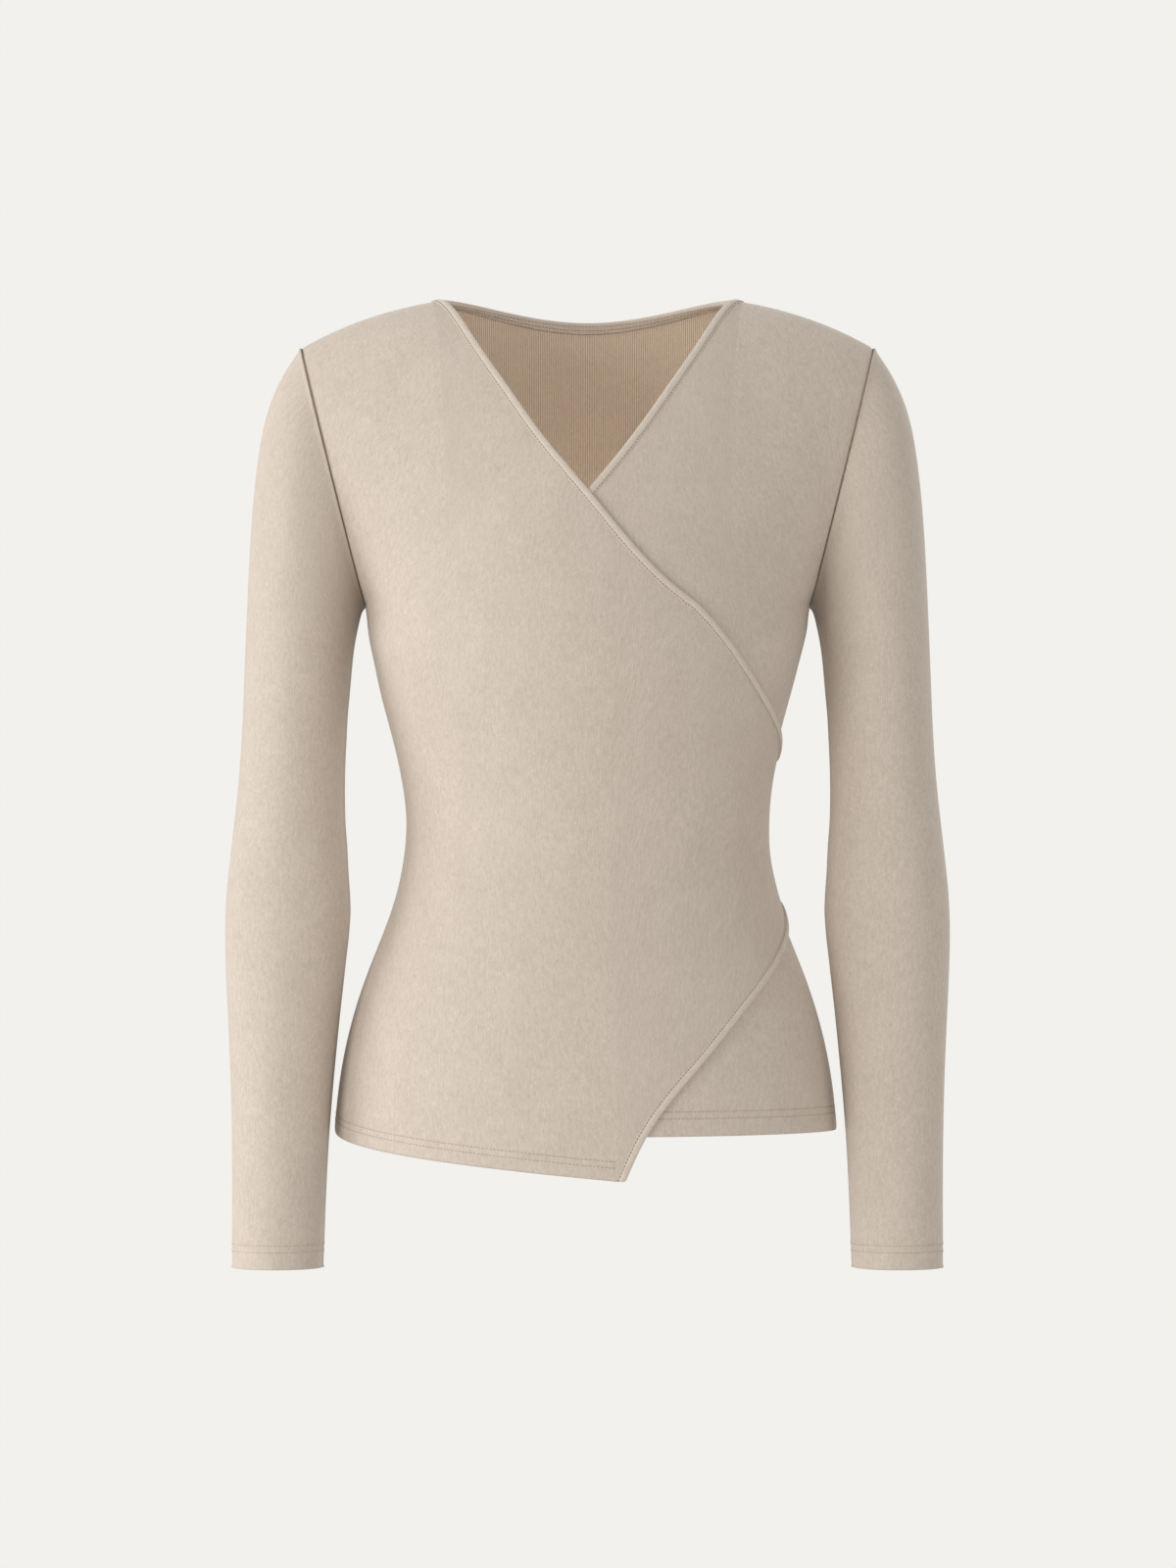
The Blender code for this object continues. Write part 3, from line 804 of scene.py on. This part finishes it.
def wrap_lift(around, points):
    """How far the wrap front stands off the form, because the under front is beneath it."""
    under = body_points("front", -neck_edge[::-1, 0], neck_edge[::-1, 1])
    edge_z = np.interp(around, -neck_edge[::-1, 0], under[:, 2])
    return LAYER_LIFT * (1 - smooth_step((points[..., 2] - edge_z - CLIMB_START) / CLIMB))


def seam_dip(distance):
    """The groove where cloth turns into a seam, by the distance to it."""
    return -SEAM_DIP * np.exp(-(distance / SEAM_DIP_WIDTH) ** 2)


def hem_relief(distance, rows):
    """The hem's face: a rounded fold at the edge, and a trough along each row of stitches."""
    relief = -FOLD_DROP * np.exp(-(distance / FOLD_ROUND) ** 2)
    for row in rows:
        relief = relief - ROW_DIP * np.exp(-((distance - row) / ROW_DIP_WIDTH) ** 2)
    return relief + HEM_SWELL * smooth_step((rows[1] + 2 - distance) / 3)


print("Rows of hem stitches stand", *HEM_ROWS, "mm above the edge")


# %% [markdown]
# ## The two fronts
#
# Each front is a grid of columns that run from its lower edge to its upper edge. The wrap front's columns
# end on the slanted hem and then on the lower binding, and start at the shoulder and then on the neck
# binding. The under front is the same cut mirrored, but with a level hem.

# %% Front columns
ROWS = 190
EDGE_ROWS = 22            # of them, within the lowest EDGE_SHARE of a column
EDGE_SHARE = 0.06
UPPER_ROWS = 40           # and above UPPER_SHARE
UPPER_SHARE = 0.85
neck_turn = -neck_panel[0][0]
tip_turn = lower_panel[0][0]


def spaced(*stops_and_counts):
    """Values from stop to stop, given as stop, count, stop, count ... stop."""
    stops, counts = stops_and_counts[::2], stops_and_counts[1::2]
    parts = [np.linspace(a, b, n, endpoint=False) for a, b, n in zip(stops, stops[1:], counts)]
    return np.concatenate(parts + [[stops[-1]]])


def neck_top(around):
    over = np.interp(around, neck_panel[:, 0], neck_panel[:, 1])
    return np.where(around <= -neck_turn, SEAM_RISE, over)


def wrap_bottom(around):
    below = np.interp(around, lower_panel[:, 0], lower_panel[:, 1])
    return np.where(around <= tip_turn, wrap_hem_rise(around), below)


wrap_columns = spaced(-1.0, 34, -neck_turn, 36, tip_turn, 78, 1.0)
under_columns = spaced(-1.0, 90, neck_turn, 34, 1.0)
middle_rows = ROWS - EDGE_ROWS - UPPER_ROWS
rows_share = spaced(0.0, EDGE_ROWS, EDGE_SHARE, middle_rows, UPPER_SHARE, UPPER_ROWS, 1.0)


def front_grid(columns, bottom, top, lifted):
    """A front's points on the form, their normals, how far creases and layers lift them, and how far around
    they are."""
    low, high = bottom(columns), top(columns)
    rise = low + (high - low) * rows_share[:, None]
    around = np.broadcast_to(columns, rise.shape)
    points = body_points("front", around, rise)
    normals = outward("front", around, rise)
    lift = crease_lift(points, FRONT_CREASES)
    if lifted:
        lift = lift + wrap_lift(around, points)
    return points, normals, lift, around


def side_distance(points, around):
    """The distance to each side along the rows, in millimetres."""
    steps = np.linalg.norm(np.diff(points, axis=1), axis=-1)
    run = np.concatenate([np.zeros((len(points), 1)), np.cumsum(steps, axis=1)], axis=1)
    return run, run[:, -1:] - run


def edge_distance(points):
    """The distance down each column to its lower end, and up to its upper end."""
    steps = np.linalg.norm(np.diff(points, axis=0), axis=-1)
    run = np.concatenate([np.zeros((1, points.shape[1])), np.cumsum(steps, axis=0)], axis=0)
    return run, run[-1:] - run


print("The fronts have", len(wrap_columns), "and", len(under_columns), "columns")

# %% Wrap front
points, normals, lift, around = front_grid(wrap_columns, wrap_bottom, neck_top, True)
from_right, from_left = side_distance(points, around)
from_low, from_high = edge_distance(points)
hem = np.where(around <= tip_turn, 1.0, 0.0) * hem_relief(from_low, WRAP_HEM_ROWS)
lift = lift + seam_dip(from_right) + seam_dip(from_left) * (around > 0) + hem
lift = lift + seam_dip(from_high) * (around <= -neck_turn)
wrap_points = points + normals * lift[..., None]
front_wrap = cloth_object("front_wrap_cloth", wrap_points)
print("The wrap front is cut", "%.2f by %.2f m, %.3f square metres" % sized(wrap_points))

# %% Under front
points, normals, lift, around = front_grid(
    under_columns, lambda a: np.full_like(a, HEM_RISE), lambda a: neck_top(-a), False)
from_right, from_left = side_distance(points, around)
from_low, from_high = edge_distance(points)
lift = lift + seam_dip(from_right) + seam_dip(from_left) + hem_relief(from_low, HEM_ROWS)
lift = lift + seam_dip(from_high) * (around >= neck_turn)
under_points = points + normals * lift[..., None]
front_under = cloth_object("front_under_cloth", under_points)
print("The under front is cut", "%.2f by %.2f m, %.3f square metres" % sized(under_points))

# %% [markdown]
# ## The back
#
# The back is one piece, hollowed a little at the neck. Its inside is what shows through the neckline, so its
# wales are laid upright and its melange is darker overall, from painted shade in the grooves between its
# wales, though its colours are made paler, as painted light for the dim inside.

# %% Back
NECK_COLUMNS = 71
SHOULDER_COLUMNS = 40
back_neck_turn = neck_around("back")
back_middle_rise = rise_at("back", 0, -BACK_NECK_DROP)
NECK_SLOPE = np.linalg.norm(body_slopes("back", back_neck_turn, 179.0)[0])
MIDDLE_SLOPE = np.linalg.norm(body_slopes("back", 0.0, back_middle_rise)[1])


def back_neck_places(share, inset):
    """Places on the back neckline, or a line an inset below it. Share is -1 to 1 from end to end."""
    dip = np.maximum(0, 1 - share**2) ** BACK_NECK_SQUARE
    around = share * (back_neck_turn + inset / NECK_SLOPE)
    return around, SEAM_RISE + (back_middle_rise - inset / MIDDLE_SLOPE - SEAM_RISE) * dip


inset = BINDING_WIDTH - PANEL_TUCK
middle_around, middle_top = back_neck_places(np.linspace(-1, 1, NECK_COLUMNS), inset)
side_around = np.linspace(-1, middle_around[0], SHOULDER_COLUMNS, endpoint=False)
back_columns = np.concatenate([side_around, middle_around, -side_around[::-1]])
shoulder_tops = np.full(SHOULDER_COLUMNS, SEAM_RISE)
back_tops = np.concatenate([shoulder_tops, middle_top, shoulder_tops])
level = spaced(HEM_RISE, 18, HEM_RISE + 20, 104, 0.0, 1, 1.0, 62, SEAM_RISE)[:, None]
rise = np.where(level <= 0, level, level * back_tops / SEAM_RISE)
around = np.broadcast_to(back_columns, rise.shape)
points = body_points("back", around, rise)
normals = outward("back", around, rise)
from_right, from_left = side_distance(points, around)
from_low, from_high = edge_distance(points)
lift = crease_lift(points, BACK_CREASES) + seam_dip(from_right) + seam_dip(from_left)
lift = lift + hem_relief(from_low, HEM_ROWS) + seam_dip(from_high) * (back_tops > 179.9)
back_points = points + normals * lift[..., None]
back = cloth_object("back_cloth", back_points, flip=True)
print("The back is cut", "%.2f by %.2f m, %.3f square metres" % sized(back_points))

# %% [markdown]
# ## Sleeves
#
# A sleeve is a tube through rings that start in the armhole's plane and turn level down the arm. Its one
# seam runs down the inner side, where the two edges of the cut meet. A groove and a narrow ridge beside it
# are the overlocked allowance showing through the thin cloth.

# %% Sleeves
ARMHOLE_GAP = 0.5
SLEEVE_AROUND = 128
SLEEVE_ALONG = 230
UNDERARM_ROUND = 36.0      # the arm's radius, for distances from its seam
SEAM_GROOVE = 0.8
SEAM_GROOVE_WIDTH = 1.6
ALLOWANCE = 0.35           # how far the overlocked allowance stands out, beside the groove
ALLOWANCE_AWAY = 4.5
ALLOWANCE_WIDTH = 2.0
BACK_CREASE_SHARE = 0.7


def sleeve_grid():
    """The left sleeve's points from the cuff up, with the seam at the first column."""
    cuff = sleeve_length[-1]
    distance = spaced(cuff, 24, cuff - 20, SLEEVE_ALONG - 54, 12.0, 30, 0.0)
    rings = sleeve_at(distance)
    degrees = 180 + np.linspace(0, 360, SLEEVE_AROUND, endpoint=False)
    points = ring_points(rings[:, None, :], degrees[None, :])
    ring = SLEEVE[0]
    away = Vector((ring.outer_z - ring.inner_z, 0, ring.inner_x - ring.outer_x)).normalized()
    points = points + np.array(away) * ARMHOLE_GAP
    normals = grid_normals(points, closed=True)
    turn = np.minimum(degrees - 180, 540 - degrees)
    aside = np.radians(turn) * UNDERARM_ROUND
    lift = crease_lift(points, SLEEVE_CREASES) * np.where(normals[..., 1] < 0, 1.0, BACK_CREASE_SHARE)
    lift = lift - SEAM_GROOVE * np.exp(-(aside / SEAM_GROOVE_WIDTH) ** 2)
    lift = lift + ALLOWANCE * np.exp(-((aside - ALLOWANCE_AWAY) / ALLOWANCE_WIDTH) ** 2)
    from_cuff, from_armhole = edge_distance(points)
    lift = lift + hem_relief(from_cuff, CUFF_ROWS) + seam_dip(from_armhole)
    return points + normals * lift[..., None]


left_sleeve_points = sleeve_grid()
sleeves = []
for name, side in (("sleeve_left", 1), ("sleeve_right", -1)):
    sleeve_points = left_sleeve_points * np.array([side, 1, 1])
    sleeves.append(cloth_object(name + "_cloth", sleeve_points, closed=True, flip=side > 0))
print("A sleeve is cut", "%.2f by %.2f m, %.3f square metres" % sized(left_sleeve_points, True))

# %% [markdown]
# ## Bindings
#
# A binding is a strip of the same knit folded over a raw edge and sewn through, so it looks like a soft flat
# cord with a stitched groove along the cloth's side. Its section is drawn once and swept along the edge.

# %% Binding section
Corner = namedtuple("Corner", "across height")      # across 0 is the free edge, 1 the cloth's side
BINDING_SECTION = (
    Corner(0.00, -0.10), Corner(0.02, 0.50), Corner(0.10, 0.95), Corner(0.24, 1.25),
    Corner(0.42, 1.35), Corner(0.60, 1.25), Corner(0.74, 0.95), Corner(0.82, 0.52),
    Corner(0.88, 0.50), Corner(0.94, 0.62), Corner(0.99, 0.50), Corner(1.01, 0.10),
    Corner(1.00, -1.30), Corner(0.80, -1.75), Corner(0.30, -1.80), Corner(0.08, -1.40),
)
STITCH_ACROSS = 0.85
STITCH_HEIGHT = 0.55


def binding_frames(face, edge_line, inner_line, extra_lift):
    """The outer points, inner points and normals along a binding."""
    outer = body_points(face, edge_line[:, 0], edge_line[:, 1])
    inner = body_points(face, inner_line[:, 0], inner_line[:, 1])
    normals = outward(face, inner_line[:, 0], inner_line[:, 1])
    raise_by = extra_lift(inner_line[:, 0], inner)[:, None]
    return outer + normals * raise_by, inner + normals * raise_by, normals


def binding_object(name, frames, mirrored=False):
    """The section swept along the frames, closed at both ends."""
    outer, inner, normals = frames
    rows = [outer + (inner - outer) * c.across + normals * c.height for c in BINDING_SECTION]
    points = np.stack(rows, axis=1)
    if mirrored:
        points = points * np.array([-1, 1, 1])
    piece = cloth_object(name, points, closed=True, materials=(BINDING,))
    piece.modifiers.clear()      # the section has a thickness of its own
    mesh = piece.data
    count = len(BINDING_SECTION)
    bm = bmesh.new()
    bm.from_mesh(mesh)
    bm.verts.ensure_lookup_table()
    bm.faces.new([bm.verts[i] for i in range(count)])
    bm.faces.new([bm.verts[len(points) * count - count + i] for i in range(count)])
    bmesh.ops.recalc_face_normals(bm, faces=bm.faces)
    bm.to_mesh(mesh)
    bm.free()
    smooth = piece.modifiers.new("soft", "SUBSURF")
    smooth.levels = smooth.render_levels = 1
    return piece


def no_lift(around, points):
    return np.zeros(np.shape(around))


print("The binding's section has", len(BINDING_SECTION), "corners")

# %% Four bindings
BACK_NECK_STEPS = 90
thinned = slice(None, None, 4)
neck_outer, neck_inner = neck_line(0)[thinned], neck_line(BINDING_WIDTH)[thinned]
lower_outer, lower_inner = lower_line(0)[thinned], lower_line(BINDING_WIDTH)[thinned]
back_shares = np.linspace(-1, 1, BACK_NECK_STEPS)
back_outer = np.stack(back_neck_places(back_shares, 0), axis=1)
back_inner = np.stack(back_neck_places(back_shares, BINDING_WIDTH), axis=1)

wrap_neck_frames = binding_frames("front", neck_outer, neck_inner, wrap_lift)
wrap_lower_frames = binding_frames("front", lower_outer, lower_inner, wrap_lift)
under_neck_frames = binding_frames("front", neck_outer, neck_inner, no_lift)
back_neck_frames = binding_frames("back", back_outer, back_inner, no_lift)
bindings = {
    "binding_wrap_neck": binding_object("binding_wrap_neck_cloth", wrap_neck_frames),
    "binding_wrap_lower": binding_object("binding_wrap_lower_cloth", wrap_lower_frames),
    "binding_under_neck": binding_object("binding_under_neck_cloth", under_neck_frames, mirrored=True),
    "binding_back_neck": binding_object("binding_back_neck_cloth", back_neck_frames),
}
print("Bindings:", ", ".join(bindings))

# %% [markdown]
# ## Stitches
#
# A stitch is a short grain of thread that is fat in the middle and dives into the cloth at both ends.
# Hundreds of them make a row, so each row is one mesh, made from the same small grain.

# %% Rows of stitches
Stitch = namedtuple("Stitch", "pitch length radius reach")
HEM_STITCH = Stitch(2.6, 2.0, 0.34, 0.0)
BINDING_STITCH = Stitch(2.4, 1.9, 0.30, 0.0)
SEAM_STITCH = Stitch(1.9, 1.5, 0.28, 1.3)
OVERLOCK_STITCH = Stitch(1.3, 1.1, 0.30, 2.2)
BAND_STITCH = Stitch(2.4, 2.0, 0.28, 0.0)
GRAIN = ((-0.5, 0.25), (-0.25, 0.9), (0.25, 0.9), (0.5, 0.25))     # share along the stitch, and fatness
SINK = 0.6                # how deep a stitch lies, as a share of its radius
AHEAD = 0.5               # millimetres ahead, to find a line's course


def stitch_mesh(name, stitches, radius, material):
    """One mesh of many stitches, each given as its start, its end and the cloth's normal there."""
    vertices, faces = [], []
    for start, end, normal in stitches:
        course = end - start
        side = np.cross(normal, course)
        side = side / np.linalg.norm(side) * radius
        top = normal * radius
        base = len(vertices)
        for share, fat in GRAIN:
            centre = (start + end) / 2 + course * share + top * (fat - SINK)
            for across, height in ((1, 0), (0, 1), (-1, 0), (0, -1)):
                vertices.append(centre + side * across * fat + top * height * fat)
        for ring in range(len(GRAIN) - 1):
            for k in range(4):
                a, b = base + ring * 4 + k, base + ring * 4 + (k + 1) % 4
                faces.append((a, b, b + 4, a + 4))
        faces.append((base + 3, base + 2, base + 1, base))
        faces.append(tuple(base + 4 * (len(GRAIN) - 1) + k for k in range(4)))
    mesh = bpy.data.meshes.new(name)
    mesh.from_pydata((np.array(vertices) * MM).tolist(), [], faces)
    mesh.materials.append(material)
    mesh.shade_smooth()
    piece = bpy.data.objects.new(name, mesh)
    scene.collection.objects.link(piece)
    return piece


def row_stitches(line, normals, kind, zigzag=False):
    """Stitches along a line. A reach turns them off its course: all one way, or by turns in a zigzag."""
    run = along(line)
    stitches = []
    for i, at in enumerate(np.arange(kind.pitch / 2, run[-1] - kind.pitch / 2, kind.pitch)):
        middle = np.array([np.interp(at, run, line[:, k]) for k in range(3)])
        ahead = np.array([np.interp(at + AHEAD, run, line[:, k]) for k in range(3)])
        normal = unit(np.array([np.interp(at, run, normals[:, k]) for k in range(3)]))
        course = unit(ahead - middle)
        side = np.cross(normal, course)
        turned = -1 if zigzag and i % 2 else 1
        half = course * kind.length / 2 + side * kind.reach / 2 * turned
        stitches.append((middle - half, middle + half, normal))
    return stitches


def level_line(points, distance, closed=False):
    """The line across a sheet's columns at a distance above their lower ends, and its normals."""
    from_low, _ = edge_distance(points)
    normals = grid_normals(points, closed)
    line, line_normals = [], []
    columns = list(range(points.shape[1])) + ([0] if closed else [])
    for c in columns:
        line.append([np.interp(distance, from_low[:, c], points[:, c, k]) for k in range(3)])
        line_normals.append([np.interp(distance, from_low[:, c], normals[:, c, k]) for k in range(3)])
    return np.array(line), np.array(line_normals)


print("Hem stitches are", HEM_STITCH.length, "mm long")

# %% Hem and cuff stitches
stitch_rows = {}
wrap_hem_columns = wrap_points[:, wrap_columns <= tip_turn]
stitch_rows["wrap_hem_stitches"] = [level_line(wrap_hem_columns, d) for d in WRAP_HEM_ROWS]
stitch_rows["under_hem_stitches"] = [level_line(under_points, d) for d in HEM_ROWS]
back_rows = [level_line(back_points, d) for d in HEM_ROWS]
stitch_rows["back_hem_stitches"] = [(line, -normals) for line, normals in back_rows]
cuff_rows = [level_line(left_sleeve_points, d, True) for d in CUFF_ROWS]
mirror = np.array([-1, 1, 1])
stitch_rows["left_cuff_stitches"] = cuff_rows
stitch_rows["right_cuff_stitches"] = [(line * mirror, normals * mirror) for line, normals in cuff_rows]

extras = []
for name, rows in stitch_rows.items():
    stitches = [s for line, normals in rows for s in row_stitches(line, normals, HEM_STITCH)]
    extras.append(stitch_mesh(name, stitches, HEM_STITCH.radius, THREAD))
    print(name, "has", len(stitches), "stitches")


# %% Binding stitches
def binding_line(frames, mirrored=False):
    outer, inner, normals = frames
    line = outer + (inner - outer) * STITCH_ACROSS + normals * STITCH_HEIGHT
    flip = mirror if mirrored else np.ones(3)
    return line * flip, normals * flip


for name, frames, mirrored in (
        ("wrap_neck_stitches", wrap_neck_frames, False),
        ("wrap_lower_stitches", wrap_lower_frames, False),
        ("under_neck_stitches", under_neck_frames, True),
        ("back_neck_stitches", back_neck_frames, False)):
    line, line_normals = binding_line(frames, mirrored)
    stitches = row_stitches(line, line_normals, BINDING_STITCH)
    # These stitches use the dark thread, painted shade for the stitched groove.
    extras.append(stitch_mesh(name, stitches, BINDING_STITCH.radius, SEAM_SHADE_THREAD))
    print(name, "has", len(stitches), "stitches")

# %% [markdown]
# ## Overlocked seams
#
# Where two pieces join, the thread that holds their edges shows as fine slanted stitches in the seam's
# groove, made dark as painted shade for the groove. They run round both armholes, down the side seams, over
# the shoulders and down the sleeves.

# %% Seam stitches
ARMHOLE_SUNK = 0.35       # how far the seams' threads lie inside the form
SIDE_SUNK = 0.3
SHOULDER_SUNK = 0.4
UNDERARM_PROUD = 0.1
SIDE_STEPS = 120
SHOULDER_STEPS = 60
seam_lines = {}
armhole_degrees = np.linspace(-180, 180, 200)
armhole = ring_points(np.asarray(SLEEVE[0], float), armhole_degrees)
armhole_centre = armhole.mean(axis=0)
armhole_normals = unit(armhole - armhole_centre)
seam_lines["left_armhole"] = (armhole - armhole_normals * ARMHOLE_SUNK, armhole_normals)
seam_lines["right_armhole"] = tuple(a * mirror for a in seam_lines["left_armhole"])
side_rise = np.linspace(HEM_RISE + 2, -1, SIDE_STEPS)
side = body_points("front", np.ones(SIDE_STEPS), side_rise)
side_normals = outward("front", np.ones(SIDE_STEPS), side_rise)
seam_lines["left_side"] = (side - side_normals * SIDE_SUNK, side_normals)
seam_lines["right_side"] = tuple(a * mirror for a in seam_lines["left_side"])
shoulder_around = np.linspace(neck_around("front") + 0.05, 0.995, SHOULDER_STEPS)
shoulder = body_points("front", shoulder_around, np.full(SHOULDER_STEPS, SEAM_RISE))
shoulder_normals = np.tile([0.0, 0.0, 1.0], (SHOULDER_STEPS, 1))
seam_lines["left_shoulder"] = (shoulder - shoulder_normals * SHOULDER_SUNK, shoulder_normals)
seam_lines["right_shoulder"] = tuple(a * mirror for a in seam_lines["left_shoulder"])
inner_seam = left_sleeve_points[:-8, 0]
inner_normals = grid_normals(left_sleeve_points, True)[:-8, 0]
seam_lines["left_underarm"] = (inner_seam + inner_normals * UNDERARM_PROUD, inner_normals)
seam_lines["right_underarm"] = tuple(a * mirror for a in seam_lines["left_underarm"])
for name, (line, line_normals) in seam_lines.items():
    stitches = row_stitches(line, line_normals, SEAM_STITCH)
    extras.append(stitch_mesh(name + "_seam", stitches, SEAM_STITCH.radius, SEAM_SHADE_THREAD))
print("Seams:", ", ".join(seam_lines))

# %% [markdown]
# ## The back neck's turned edge
#
# Inside the back neck, the strip is folded over and finished with two rows of pale overlock zigzag. It's a
# narrow band that lies on the inside of the back, so it shows through the neckline.

# %% Back neck band
BAND_WIDTH = 8.0
BAND_LIFT = 2.0
BAND_CROWN = 0.35
BAND_WALL = 0.7
BAND_TOP = 0.6             # how far below the neckline it starts
BAND_ROWS = 7
BAND_STEPS = 120
BAND_END = 0.985           # how far it reaches towards the neck points
THREAD_PROUD = 0.25
band_shares = np.linspace(-BAND_END, BAND_END, BAND_STEPS)
band_rows = []
for across in np.linspace(BAND_TOP, BAND_WIDTH, BAND_ROWS):
    band_around, band_rise = back_neck_places(band_shares, across)
    band_normals = outward("back", band_around, band_rise)
    crown = BAND_CROWN * math.sin(math.pi * across / BAND_WIDTH)
    band_rows.append(body_points("back", band_around, band_rise) - band_normals * (BAND_LIFT + crown))
band_points = np.array(band_rows)
band = cloth_object("back_neck_band", band_points, wall=BAND_WALL, materials=(BINDING,), offset=1)
band_inward = -outward("back", *back_neck_places(band_shares, BAND_WIDTH / 2))
for name, row in (("band_upper_overlock", 1), ("band_lower_overlock", 4)):
    line = (band_points[row] + band_points[row + 1]) / 2 + band_inward * THREAD_PROUD
    stitches = row_stitches(line, band_inward, OVERLOCK_STITCH, zigzag=True)
    extras.append(stitch_mesh(name, stitches, OVERLOCK_STITCH.radius, PALE_THREAD))
# The three dark threads along the band are painted shade lines at its edge, middle and foot.
for name, row in (("band_edge_thread", 0), ("band_middle_thread", 3), ("band_low_thread", 6)):
    line = band_points[row] + band_inward * THREAD_PROUD
    stitches = row_stitches(line, band_inward, BAND_STITCH)
    extras.append(stitch_mesh(name, stitches, BAND_STITCH.radius, SEAM_SHADE_THREAD))
print("The band is", BAND_WIDTH, "mm wide")

# %% [markdown]
# ## Pieces on the body
#
# Every piece rides on the one body and stands in for its solid, which is hidden.

# %% Pieces and their solids
cloths = {
    "front_wrap": (front_wrap, wrap_points, False),
    "front_under": (front_under, under_points, False),
    "back": (back, back_points, False),
    "sleeve_left": (sleeves[0], left_sleeve_points, True),
    "sleeve_right": (sleeves[1], left_sleeve_points, True),
}
for node, (piece, points, closed) in cloths.items():
    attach(piece, "root")
    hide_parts(node)
for node, piece in bindings.items():
    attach(piece, "root")
    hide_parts(node)
for piece in (band, *extras):
    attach(piece, "root")
print("Pieces:", len(cloths) + len(bindings) + len(extras) + 1)
